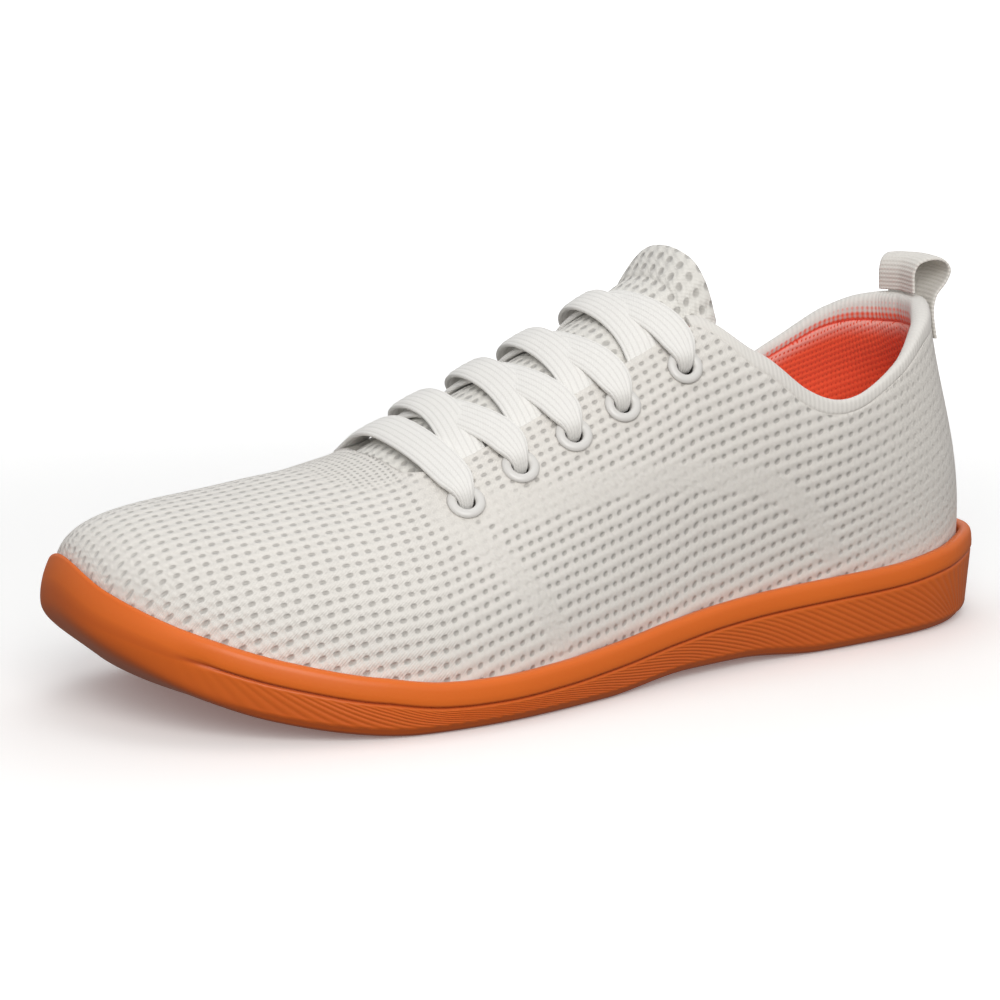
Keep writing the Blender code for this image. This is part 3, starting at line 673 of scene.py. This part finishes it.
def webbing_material():
    t = Tree("webbing", (0.78, 0.75, 0.70), 0.85, Sheen_Weight=0.25)
    u, v = t.uv()
    rib = t.wave(v, 0.85)
    weave = t.wave(u, 14.0)
    thread = t.noise(1300.0, 3.0)
    # Painted shade: the webbing is darker in the hollows between its ribs; the thread noise adds random tone.
    shade = t.madd(t.minus(0.5, t.times(rib, 0.5)), 0.09,
                   t.times(t.minus(thread, 0.4), 0.15))
    t.colour(t.blend(shade, (0.80, 0.775, 0.73), (0.42, 0.38, 0.32)))
    height = t.madd(t.times(rib, weave), 0.15, t.times(rib, 0.28))
    t.bump(height, 0.6, 0.3)
    return t.material


def strip_material():
    t = Tree("binding", KNIT_WHITE, 0.85, Sheen_Weight=0.25)
    u, v = t.uv()
    fine = t.noise(1500.0, 3.0)
    soft = t.noise(120.0, 2.0)
    stitch = t.wave(u, 0.62)
    # Painted shade: the strip is a little darker in the hollows between stitches; the soft noise adds random
    # tone.
    shade = t.madd(stitch, -0.04, t.times(soft, 0.2))
    white = t.blend(shade, (0.80, 0.78, 0.745), (0.5, 0.48, 0.45))
    dots = t.plus(t.wave(u, 0.57), t.wave(v, 0.57))
    red = t.ramp(0.3, 1.0, t.madd(dots, 0.14, t.attribute("fade")))
    t.colour(t.blend(red, white, (0.95, 0.11, 0.04)))
    height = t.madd(stitch, 0.3, t.times(fine, 0.7))
    t.bump(height, 0.5, 0.3)
    return t.material


def foam_material():
    t = Tree("insole_cloth", (0.72, 0.13, 0.06), 0.92, Sheen_Weight=0.2)
    fine = t.noise(1000.0, 3.0)
    t.colour(t.blend(fine, (0.80, 0.15, 0.07), (0.55, 0.08, 0.04)))
    t.bump(fine, 0.4, 0.25)
    return t.material


def eyelet_material():
    t = Tree("eyelet_plastic", (0.72, 0.71, 0.69), 0.34, Coat_Weight=0.2, Coat_Roughness=0.2)
    cloud = t.noise(500.0, 2.0)
    t.rough(t.madd(cloud, 0.15, 0.27))
    t.bump(cloud, 0.06, 0.1)
    return t.material


# Near-black painted shade for the discs that close the eyelet holes.
def eyelet_shade_material():
    t = Tree("eyelet_painted_shade", (0.035, 0.03, 0.027), 0.8)
    cloud = t.noise(700.0, 2.0)
    t.colour(t.blend(cloud, (0.045, 0.038, 0.034), (0.02, 0.018, 0.016)))
    return t.material


def place(item, slot, *nodes):
    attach(item, "root")
    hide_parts(*nodes)
    return item


def sole_ring(points, normals, offset, height):
    flat = points + normals * np.asarray(offset, float).reshape(-1, 1)
    return np.column_stack([flat, height])


def at_toe(section):
    """0 along the sides of the sole, 1 at its toe bumper."""
    return smooth(16.5, 19.0, section)


def at_heel(section):
    """1 at the back of the heel, 0 along the sides."""
    return 1.0 - smooth(0.0, 2.5, section)


def make_sole():
    """Cup sole: rounded foot, slanting side ribs, groove, smooth band and rolled rim, with painted shade
    darkening the gum underneath, low on the side, in the groove and at the toe.
    """
    count = SOLE_AROUND
    rings, low = [], []
    turn = np.arange(count) * SOLE_RIBS / count
    wave = 0.5 - 0.5 * np.cos(2.0 * math.pi * turn)
    tooth = RIB_DEEP * wave ** 1.5

    # Each ring keeps its amount of painted shade, stored as the low attribute.
    def add(ring, dark):
        rings.append(ring)
        low.append(np.full(count, dark) if np.isscalar(dark) else dark)

    p, n, s = loop(count, RIB_SLIDE)
    base = base_height(p[:, 0])
    toe, heel = at_toe(s), at_heel(s)
    # The foot rings carry the most painted shade, darkest at the underside.
    for k, (out, toe_out, heel_out, up) in enumerate(SOLE_FOOT):
        height = base_height(p[:, 0] - 13.0 * n[:, 0]) if k == 0 else base + up + up * toe
        add(sole_ring(p, n, out + toe_out * toe + heel_out * heel, height), 1.0 - 0.1 * k)
    for k in range(SOLE_UP + 1):
        t = k / SOLE_UP
        p, n, s = loop(count, RIB_SLIDE * (1.0 - t))
        toe, heel = at_toe(s), at_heel(s)
        front = 1.0 - smooth(14.8, 17.6, s)
        ribbed = smooth(1.2, 3.2, s) * front * smooth(0.0, 0.1, t) * smooth(1.0, 0.93, t)
        bottom = base_height(p[:, 0]) + 3.0 + 3.8 * toe
        top = value("rim", s) - GROOVE - 0.7 - 5.0 * toe
        swell = 0.35 * math.sin(math.pi * t) * toe
        out = (0.1 - 1.8 * toe - heel) * (1.0 - t) + (0.9 - 0.4 * toe) * t + swell - tooth * ribbed
        # Painted shade on the side: darker in the rib hollows, towards the bottom and at the toe bumper.
        groove_shade = 0.16 * wave * ribbed + 0.22 + 0.25 * (1.0 - t) * (1.0 - toe) + 0.2 * toe
        add(sole_ring(p, n, out, bottom + (top - bottom) * t), groove_shade)
    p, n, s = loop(count)
    rim = value("rim", s)
    line = 1.0 - smooth(16.7, 17.1, s)
    toe = at_toe(s)
    cut = GROOVE_DEEP * line
    for out, share, toe_in, up, toe_up, dark, line_dark in SOLE_BAND:
        offset = out - share * cut - toe_in * toe
        add(sole_ring(p, n, offset, rim + (up + toe_up * toe)), 0.9 * (dark + line_dark * line))
    inside = p - n * (LIP + 0.1)
    floor = np.minimum(base_height(inside[:, 0]) + FOOTBED, rim - TUCK - 0.8)
    # Painted shade on the floor inside the cup.
    add(np.column_stack([inside, floor]), 0.6)
    sheet = Sheet()
    points = round_toe(np.stack(rings, 1), smooth(16.5, 17.8, s))
    index = sheet.grid(points, low=np.stack(low, 1))
    sheet.quads(index, wrap=True)
    close_ladder(sheet, index[:, 0])
    close_ladder(sheet, index[:, -1])
    place(sheet.object("sole", [gum_material()]), "gum_rubber", "outsole")


def round_toe(points, toe):
    """Even out the rows of the toe bumper so that it is one smooth bulge."""
    share = toe[:, None, None]
    for _ in range(30):
        between = 0.5 * points[:, 1:-4] + 0.25 * (points[:, :-5] + points[:, 2:-3])
        points[:, 1:-4] += share * (between - points[:, 1:-4])
    return points


def close_ladder(sheet, ring):
    """Close a ring with rungs from the outer to the inner side."""
    count = len(ring)
    for i in range(count // 2):
        corners = []
        for k in (i, i + 1, count - i - 1, count - i):
            corner = ring[k % count]
            if corner not in corners:
                corners.append(corner)
        sheet.fan(corners)


def make_insole():
    """Loose sock liner with a rounded upper edge."""
    p, n, _ = loop(INSOLE_AROUND)
    edge = p - n * (UPPER_INSET + WALL + 0.5)
    floor = base_height(edge[:, 0]) + FOOTBED + FIT + 0.1
    rings = [np.column_stack([edge, floor]), np.column_stack([edge, floor + INSOLE_THICK - 1.2])]
    for inset, drop in ((0.25, 0.6), (0.7, 0.2), (1.4, 0.0)):
        inner = edge - n * inset
        high = base_height(inner[:, 0]) + FOOTBED + FIT + 0.1 + INSOLE_THICK - drop
        rings.append(np.column_stack([inner, high]))
    sheet = Sheet()
    index = sheet.grid(np.stack(rings, 1))
    sheet.quads(index, wrap=True)
    close_ladder(sheet, index[:, 0])
    close_ladder(sheet, index[:, -1])
    place(sheet.object("sock_liner", [foam_material()]), "insole_foam", "insole")


def profile_line():
    """Middle line of the instep and toe: x, height and distance along it."""
    numbers = np.linspace(CORNER, LAST, 200)
    front = rib_curve(LAST, 1)[::-1]
    x = np.concatenate([value("end_x", numbers), front[1:, 0]])
    z = np.concatenate([value("end_z", numbers), front[1:, 2]])
    step = np.hypot(np.diff(x), np.diff(z))
    return x, z, x[0] + np.concatenate([[0.0], np.cumsum(step)])


LINE_X, LINE_Z, LINE_ARC = profile_line()


def knit_place(points, section):
    """Where points lie on the flat knit, counted in holes."""
    x, y, z = points[..., 0], points[..., 1], points[..., 2]
    behind = np.minimum(x - LINE_X[0], 0.0)
    front_u = np.interp(x, LINE_X, LINE_ARC) + behind
    ridge = np.interp(x, LINE_X, LINE_Z) - 0.38 * behind
    front_v = 0.88 * (np.abs(y - centre_y(x)) + np.maximum(ridge - z, 0.0))
    place_at = np.interp(section, NUMBERS, OUTER_KNOTS)
    heel_u = -58.0 + place_at - OUTER_KNOTS[6]
    heel_v = 0.95 * (101.2 - z) + 24.0 - 0.28 * (heel_u + 27.0)
    heel = 1.0 - smooth(-88.0, -8.0, x)
    u = front_u * (1.0 - heel) + heel_u * heel
    v = front_v * (1.0 - heel) + heel_v * heel
    return np.stack([u, v], -1) / PITCH


def band_mask(points):
    """1 in the knit bands, 0 outside them."""
    flat = points[..., [0, 2]]
    mask = np.zeros(flat.shape[:-1])
    for line, half in BANDS:
        line = np.array(line)
        best = np.full(flat.shape[:-1], 1e9)
        for one, two in zip(line, line[1:]):
            run = two - one
            t = np.clip(((flat - one) @ run) / (run @ run), 0.0, 1.0)
            best = np.minimum(best, np.linalg.norm(flat - one - t[..., None] * run, axis=-1))
        mask = np.maximum(mask, 1.0 - smooth(half - 0.6, half + 0.9, best))
    return mask


def hole_strength(points):
    """How open the knit is: less at heel, toe and bands, and closed in the pricked patch."""
    x, y = points[..., 0], np.abs(points[..., 1] - centre_y(points[..., 0]))
    heel = 1.0 - 0.72 * (1.0 - smooth(-108.0, -66.0, x))
    toe = 1.0 - 0.35 * smooth(118.0, 136.0, x)
    patch = fine_patch(points)
    lateral = 1.0 - 0.82 * band_mask(points) * smooth(14.0, 22.0, y)
    return heel * toe * lateral * (1.0 - patch)


def fine_patch(points):
    """Closely pricked knit in front of the throat."""
    x, y = points[..., 0], points[..., 1] - centre_y(points[..., 0])
    front = smooth(57.0, 60.0, x) * (1.0 - smooth(72.0, 78.0, x + 0.012 * y * y))
    return front * (1.0 - smooth(17.0, 25.0, np.abs(y)))


def shell_normals(grid, up, welded):
    """Outward normals of the upper's grid, shared where its sides meet and even at the toe tip."""
    count = len(grid)
    half = count // 2
    run = np.roll(grid, -1, 0) - np.roll(grid, 1, 0)
    normal = np.cross(up, run)
    normal /= np.maximum(np.linalg.norm(normal, axis=2), 1e-9)[:, :, None]
    for i in range(half + 1):
        if welded[i]:
            j = (count - i) % count
            mean = normal[i, -1] + normal[j, -1]
            normal[i, -1] = normal[j, -1] = mean / max(np.linalg.norm(mean), 1e-9)
    near = 1.0 - smooth(3.0, TIP_NEAR, np.linalg.norm(grid - grid[half, -1], axis=2))[..., None]
    return unit(normal * (1.0 - near) + np.array(TIP_UP) * near)


def make_upper():
    """Knit shell: outer face, rolled throat edge and lining, with room for the eyelets."""
    half = UPPER_AROUND // 2
    number = sections_for(half)
    number[np.argmin(np.abs(number - WELD))] = WELD
    number[np.argmin(np.abs(number - CORNER))] = CORNER
    ribs = [(s, 1) for s in number] + [(s, -1) for s in number[1:-1][::-1]]
    count = len(ribs)
    grid = np.zeros((count, UPPER_UP + 1, 3))
    arcs = np.zeros((count, UPPER_UP + 1))
    cuts = np.zeros(count)
    for i, (section, side) in enumerate(ribs):
        curve = rib_curve(section, side)
        cuts[i] = one_value("cut", section)
        arcs[i] = np.linspace(arc_from_end(curve)[0], cuts[i], UPPER_UP + 1)
        grid[i] = on_rib(curve, arcs[i])
    places = np.array([s for s, _ in ribs])
    welded = places >= WELD - 0.001
    up = np.gradient(grid, axis=1)
    normal = shell_normals(grid, up, welded)
    grid = grid + normal * soft_waves(grid)[..., None]
    edge_up = unit(up[:, -1])
    front = smooth(11.6, 12.8, places) * (~welded)
    bead = 1.0 + 0.55 * front
    roll = []
    for turn in (30.0, 60.0, 90.0, 120.0, 150.0):
        a = math.radians(turn)
        out = (math.cos(a) * bead - 1.0)[:, None]
        roll.append(grid[:, -1] + edge_up * (math.sin(a) * bead)[:, None] + normal[:, -1] * out)
    roll = np.stack(roll, 1)
    inner_rows = np.linspace(UPPER_UP, 0, LINING_UP + 1).round().astype(int)
    pads = np.maximum(along(PAD_AT, PAD, np.minimum(places, CORNER)) - WALL, 0.0) * (places < CORNER)
    under = (pads + 0.2 * (pads > 0.0))[:, None] * (1.0 - smooth(0.0, 18.0, arcs - cuts[:, None]))
    inner = (grid - normal * (WALL + under)[..., None])[:, inner_rows]
    uv = knit_place(grid, places[:, None])
    sheet = Sheet()
    outer_index = sheet.grid(grid, uv, holes=hole_strength(grid), fine=fine_patch(grid))
    roll_uv = np.repeat(uv[:, -1:], roll.shape[1], 1)
    roll_index = sheet.grid(roll, roll_uv)
    depth = arcs[:, inner_rows] - cuts[:, None]
    fade = 0.38 * (1.0 - smooth(0.0, 8.0, depth))
    inner_index = sheet.grid(inner, uv[:, inner_rows], fade=fade)
    spots = [spot for side in (1, -1) for _, _, spot, _ in eyelet_places(side)]
    sheet.quads(outer_index, 0, True, clear_of(grid, spots, EYELET_ROOM))
    edge = np.concatenate([outer_index[:, -1:], roll_index, inner_index[:, :1]], 1)
    free = ~(welded & np.roll(welded, -1))[:, None]
    red = (places < CORNER - 1.0)[:, None] & (np.arange(edge.shape[1] - 1) > RED_FROM)
    sheet.quads(edge, 0, True, free & ~red)
    sheet.quads(edge, 1, True, red)
    sheet.quads(inner_index, 1, True, clear_of(inner, spots, LINING_ROOM))
    hem = np.stack([inner_index[:, -1], outer_index[:, 0]], 1)
    sheet.quads(hem, 0, True)
    knit = knit_material("knit", KNIT_WHITE, *UPPER_HOLE)
    item = sheet.object("knit_upper", [knit, lining_material()], weld=0.004, tip=tuple(grid[half, -1]))
    place(item, "knit", "upper")


def clear_of(points, spots, reach):
    """True where the middle of a grid face is further than reach from all spots."""
    ahead = np.roll(points, -1, 0)
    middle = 0.25 * (points[:, :-1] + points[:, 1:] + ahead[:, :-1] + ahead[:, 1:])
    return np.min([np.linalg.norm(middle - spot, axis=2) for spot in spots], axis=0) > reach


def soft_waves(points):
    """Shallow hollows and swells of worn-in knit, in millimetres."""
    x, y, z = points[..., 0], points[..., 1], points[..., 2]
    flex = np.exp(-((x - 74.0 - 0.1 * np.abs(y)) / 7.0) ** 2) * smooth(30.0, 44.0, z)
    side = np.exp(-((x + 4.0) / 22.0) ** 2 - ((z - 38.0) / 14.0) ** 2)
    heel = np.exp(-((x + 92.0) / 16.0) ** 2 - ((z - 58.0) / 10.0) ** 2)
    toe = np.exp(-((x - 112.0) / 12.0) ** 2 - ((np.abs(y + 9.0) - 24.0) / 10.0) ** 2)
    return -0.35 * flex - 0.5 * side - 0.35 * heel + 0.2 * toe


def make_tongue():
    """Padded knit tongue with a rounded top."""
    table = np.array(TONGUE)
    spots = np.arange(len(table), dtype=float)
    rows, wide = TONGUE_ROWS, TONGUE_ACROSS
    where = np.concatenate([np.linspace(0.0, 11.0, rows - 26), np.linspace(11.0, 14.0, 27)[1:]])
    top = np.zeros((rows, wide + 1, 3))
    low = np.zeros_like(top)
    uv = np.zeros((rows, wide + 1, 2))
    for i, at in enumerate(where):
        section, beyond, half, lift = (float(along(spots, table[:, k], at)) for k in range(4))
        close = math.sqrt(max(1.0 - max((at - 13.2) / 0.8, 0.0) ** 2, 0.0))
        swell = 1.6 * float(smooth(10.6, 12.4, at))
        arcs = half * np.sin(np.linspace(-1.0, 1.0, wide + 1) * 1.25) / math.sin(1.25)
        for k, arc in enumerate(arcs):
            normal = instep_normal(section, arc)
            edge = abs(arc) / half
            middle = 1.0 - float(smooth(10.0, 25.0, abs(arc)))
            rise = min(lift, 0.0) + max(lift, 0.0) * middle - TONGUE_GAP - 0.3 * beyond * edge ** 2
            crown = TONGUE_CROWN * max(1.0 - (arc / 22.0) ** 2, 0.0) * float(smooth(1.2, 2.8, at))
            point = on_instep(section, arc)
            drop = on_instep(section, 0.0)[2] - point[2]
            point = point + np.array(BEYOND) * beyond - np.array((SLANT * beyond * drop, 0.0, 0.0))
            puff = close * math.sqrt(max(1.0 - edge ** 6, 0.0))
            thick = (TONGUE_THICK + swell) * puff / 2.0
            centre = rise - WALL - TONGUE_THICK / 2.0
            top[i, k] = point + normal * (centre + thick + crown)
            low[i, k] = point + normal * (centre - thick)
        uv[i, :, 1] = arcs
    uv[:, :, 0] = distances(top[:, wide // 2])[:, None]
    uv /= TONGUE_PITCH
    sheet = Sheet()
    ones = np.ones(top.shape[:2])
    one = sheet.grid(top, uv, holes=ones)
    two = sheet.grid(low, uv, holes=0.4 * ones)
    sheet.plate(one, two)
    made = knit_material("tongue_knit", TONGUE_WHITE, *TONGUE_HOLE)
    item = place(sheet.object("tongue_pad", [made], weld=0.004), "tongue_knit", "tongue")


def make_binding():
    """Smooth rolled strip along the collar."""
    number = sections_for(UPPER_AROUND // 2)
    number = np.append(number[number < CORNER], CORNER)
    ends = [(s, -1) for s in number[:0:-1]] + [(s, 1) for s in number]
    rings, heights = [], []
    for section, side in ends:
        wide = one_value("strip", section)
        cut = one_value("cut", section) - 2.0 * FIT
        pad = float(along(PAD_AT, PAD, section))
        profile = [
            (0.0, 0.05), (wide * 0.18, 0.15), (wide * 0.5, 0.25), (wide * 0.8, 0.15),
            (wide - 0.35, -0.15 * pad), (wide, -0.45 * pad), (wide - 0.4, -0.8 * pad),
            (wide - 1.4, -pad), (wide * 0.4, -pad - 0.3), (0.0, -pad - 0.1), (-0.8, -pad * 0.75),
        ]
        ring = []
        for up, out in profile:
            point, normal, _ = rib_frame(section, side, cut - up)
            ring.append(point + normal * out)
        rings.append(ring)
        heights.append([up for up, _ in profile])
    points, heights = np.array(rings), np.array(heights)
    run = np.broadcast_to(distances(points[:, 0])[:, None], heights.shape)
    inside = np.array([0.0] * 7 + [0.1, 0.55, 0.9, 1.0])
    fade = np.tile(inside, (len(rings), 1))
    sheet = Sheet()
    sheet.rod(sheet.grid(points, np.stack([run, heights], -1), fade=fade))
    item = place(sheet.object("collar_strip", [strip_material()]), "binding", "collar_binding")
    rounding = item.modifiers.new("rounding", "SUBSURF")
    rounding.levels = rounding.render_levels = 1


def make_pull_loop():
    """Webbing loop sewn to the outside of the heel and to the inside of the collar."""
    path = np.array(LOOP_PATH)
    knots = np.arange(len(path), dtype=float)
    fine = np.linspace(0.0, len(path) - 1.0, 90)
    line = np.stack([along(knots, path[:, k], fine) for k in range(2)], -1)
    ease(line, 6)
    run = unit(np.gradient(line, axis=0))
    off = np.stack([run[:, 1], -run[:, 0]], -1) * LOOP_THICK / 2.0
    reach = distances(line)
    spots = np.linspace(-LOOP_REACH, LOOP_REACH, 33)
    grids = []
    for faces in (line + off, line - off):
        grid = np.zeros((len(spots), len(line), 3))
        for i, spot in enumerate(spots):
            section, side = abs(spot), (1 if spot >= 0.0 else -1)
            open_at = one_value("cut", section) - FIT - 8.0
            squeeze = 1.0 if 0 < i < len(spots) - 1 else 0.45
            for k, (out, high) in enumerate(line + (faces - line) * squeeze):
                point, normal, up = rib_frame(section, side, open_at + max(-high, 0.0))
                grid[i, k] = point + normal * out + up * max(high, 0.0)
        ease(grid, 10)
        grids.append(grid)
    uv = np.stack(np.meshgrid(np.linspace(0.0, 1.0, len(spots)), reach, indexing="ij"), -1)
    sheet = Sheet()
    one = sheet.grid(grids[0], uv)
    two = sheet.grid(grids[1], uv)
    sheet.plate(one, two)
    place(sheet.object("heel_loop", [webbing_material()]), "webbing", "pull_loop")


def eyelet_places(side):
    for section, arc in EYELETS:
        yield section, arc, on_instep(section, side * arc), instep_normal(section, side * arc)


def make_eyelets():
    """Ten moulded eyelets with rolled rims, each closed under its hole by a near-black disc of painted shade.
    """
    rim = [
        (HOLE, -1.9), (HOLE, 0.3), (HOLE + 0.15, 0.75), (HOLE + 0.55, 1.1), (HOLE + 1.2, 1.25),
        (FLANGE - 0.8, 1.15), (FLANGE - 0.25, 0.85), (FLANGE, 0.4), (FLANGE - 0.2, -0.1),
        (BARREL + 0.4, -0.1), (BARREL, -1.9),
    ]
    plastic, dark = eyelet_material(), eyelet_shade_material()
    for name, side in (("lateral", 1), ("medial", -1)):
        for k, (_, _, spot, axis) in enumerate(eyelet_places(side)):
            pose = Vector(axis).to_track_quat("Z", "X")
            rings = []
            for a in np.linspace(0.0, 2.0 * math.pi, EYELET_AROUND, endpoint=False):
                ring = [pose @ Vector((r * math.cos(a), r * math.sin(a), h)) for r, h in rim]
                rings.append([np.array(spot) + np.array(v) for v in ring])
            sheet = Sheet()
            index = sheet.grid(np.array(rings))
            sheet.quads(np.concatenate([index, index[:, :1]], 1), 0, True)
            # The disc closing the hole at the foot of the barrel is painted shade.
            sheet.fan(index[:, 0], 1)
            item = sheet.object(f"eyelet_ring_{name}_{k + 1}", [plastic, dark])
            place(item, "eyelet_plastic", f"eyelet_{name}_{k + 1}")


def lace_run(sheet, knots, over=0.0):
    """Flat lace through knots of (section, arc, lift, half width, half thickness)."""
    knots = np.array(knots, float)
    spots = np.arange(len(knots), dtype=float)
    where = np.linspace(0.0, len(knots) - 1.0, LACE_STEPS + 1)
    rows = np.stack([along(spots, knots[:, k], where) for k in range(5)], -1)
    ease(rows, 8)
    flat = np.array([on_instep(section, arc) for section, arc, *_ in rows])
    normals = np.array([instep_normal(section, arc) for section, arc, *_ in rows])
    ease(flat, 6)
    ease(normals, 6)
    t = np.linspace(0.0, 1.0, LACE_STEPS + 1)
    bump = over * np.exp(-((t - 0.5) / 0.17) ** 2)
    centre = flat + normals * (rows[:, 2] + bump)[:, None]
    side = unit(np.cross(normals, np.gradient(flat, axis=0)))
    thick = unit(np.cross(np.gradient(centre, axis=0), side))
    reach = distances(centre)
    angle = np.linspace(0.0, 2.0 * math.pi, 48, endpoint=False)
    c, s = np.cos(angle), np.sin(angle)
    wide = np.sign(c) * np.abs(c) ** 0.7
    tall = np.sign(s) * np.abs(s) ** 0.7
    ridge = 1.0 + 0.12 * np.cos(wide * math.pi * 6.0) * np.abs(tall)
    points = centre[:, None] + side[:, None] * (rows[:, 3:4] * wide)[..., None]
    points = points + thick[:, None] * (rows[:, 4:5] * tall * ridge)[..., None]
    uv = np.stack([np.broadcast_to(wide * 0.5 + 0.5, points.shape[:2]),
                   np.broadcast_to(reach[:, None], points.shape[:2])], -1)
    sheet.rod(sheet.grid(points, uv))


def into_eyelet(section, arc, sign):
    """Knots of a lace that bends over an eyelet's rim and goes down its hole."""
    full, thin = LACE_WIDE / 2.0, LACE_THICK / 2.0
    return [(section, sign * (arc - 11.5), 1.1, full, thin),
            (section, sign * (arc - 6.5), 1.9, full * 0.92, thin * 1.1),
            (section, sign * (arc - 2.6), 2.2, full * 0.62, thin * 1.3),
            (section, sign * (arc - 0.2), 0.4, 2.0, thin * 1.25),
            (section, sign * (arc + 0.3), -1.7, 1.8, thin * 1.2)]


def make_laces():
    """The lowest bar, and four crossings of one lace over another."""
    made = lace_material()
    full, thin = LACE_WIDE / 2.0, LACE_THICK / 2.0
    first, arc = EYELETS[0]
    sheet = Sheet()
    middle = [(first + 0.1, sign * 9.0, 1.4 - 0.6 * sign, full, thin) for sign in (1, 0, -1)]
    lace_run(sheet, into_eyelet(first, arc, 1)[::-1] + middle + into_eyelet(first, arc, -1))
    place(sheet.object("lace_run_bar", [made]), "lace", "lace_bar")
    for k, far_cross in enumerate(FAR_CROSS):
        section, _ = EYELETS[k]
        target, far = EYELETS[k + 1]
        leave = section + 0.5 * (target - section)
        edge = one_value("cut", leave)
        sheet = Sheet()
        for sign, over in ((1, LACE_THICK + 0.5), (-1, 0.0)):
            start = [(leave, sign * (edge + 5.0), -2.0, full * 0.9, thin * 0.8),
                     (leave, sign * (edge + 0.5), -1.5, full, thin),
                     (leave - 0.03, sign * (edge - 5.0), -0.6, full, thin)]
            cross = leave + (far_cross if sign > 0 else 0.5) * (target - leave)
            low = 0.5 + 0.8 * (1.0 - float(smooth(8.5, 9.3, cross)))
            start += [(cross, sign * 4.0, low, full, thin), (cross, -sign * 4.0, low, full, thin)]
            ending = into_eyelet(target, far, -sign)
            if sign > 0:
                ending[0] = (0.35 * cross + 0.65 * target, *ending[0][1:])
            lace_run(sheet, start + ending, over)
        item = sheet.object(f"lace_run_{k + 1}", [made])
        place(item, "lace", f"lace_cross_{k + 1}")


def make_floor():
    """White floor that glows more further out."""
    turn = np.linspace(0.0, 2.0 * math.pi, 97)[:-1]
    bowl = [[(r * math.cos(a), r * math.sin(a), h) for r, h in FLOOR_BOWL] for a in turn]
    sheet = Sheet()
    index = sheet.grid(np.array(bowl))
    sheet.quads(index, 0, True)
    sheet.fan(index[:, 0])
    t = Tree("floor", (1.0, 1.0, 1.0), 0.9)
    grain = t.noise(40.0, 2.0)
    t.rough(t.madd(grain, 0.05, 0.85))
    away = t.node("ShaderNodeVectorMath", operation="LENGTH")
    t.put(away.inputs[0], t.node("ShaderNodeTexCoord").outputs["Object"])
    glow = t.madd(t.ramp(0.18, 0.9, away.outputs["Value"]), 0.55, 0.12)
    t.fill(t.shader, Emission_Color=(1.0, 1.0, 1.0, 1.0), Emission_Strength=glow)
    floor = sheet.object("floor", [t.material])
    floor.visible_diffuse = False
    floor.visible_glossy = False


def make_world():
    """Soft light from all round, darker from below."""
    world = bpy.data.worlds.new("studio")
    bpy.context.scene.world = world
    world.use_nodes = True
    links, nodes = world.node_tree.links, world.node_tree.nodes
    sky = nodes["Background"]
    sky.inputs["Strength"].default_value = 0.5
    split = nodes.new("ShaderNodeSeparateXYZ")
    links.new(nodes.new("ShaderNodeTexCoord").outputs["Generated"], split.inputs[0])
    band = nodes.new("ShaderNodeValToRGB")
    band.color_ramp.elements[0].color = (0.40, 0.36, 0.33, 1.0)
    band.color_ramp.elements[1].color = (1.0, 1.0, 1.0, 1.0)
    band.color_ramp.elements[1].position = 0.2
    links.new(split.outputs[2], band.inputs[0])
    links.new(band.outputs[0], sky.inputs["Color"])


def aim_at(item, where, target):
    item.location = where
    aim = Vector(target) - Vector(where)
    item.rotation_euler = aim.to_track_quat("-Z", "Y").to_euler()


def make_camera():
    """Camera of the photograph."""
    data = bpy.data.cameras.new("camera")
    data.lens = LENS
    data.sensor_width = 36.0
    data.clip_start = 0.01
    camera = bpy.data.objects.new("camera", data)
    bpy.context.collection.objects.link(camera)
    aim_at(camera, CAMERA_AT, LOOK_AT)
    bpy.context.scene.camera = camera
    bpy.context.scene.view_settings.view_transform = "Standard"


def lamp(name, where, size, power, colour):
    data = bpy.data.lights.new(name, "AREA")
    data.energy = power
    data.size = size
    data.color = colour
    item = bpy.data.objects.new(name, data)
    bpy.context.collection.objects.link(item)
    aim_at(item, where, LAMPS_AIM)


for item in list(bpy.data.objects):
    bpy.data.objects.remove(item, do_unlink=True)
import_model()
make_sole()
make_insole()
make_upper()
make_tongue()
make_binding()
make_pull_loop()
make_eyelets()
make_laces()
make_floor()
make_world()
for row in LAMPS:
    lamp(*row)
make_camera()
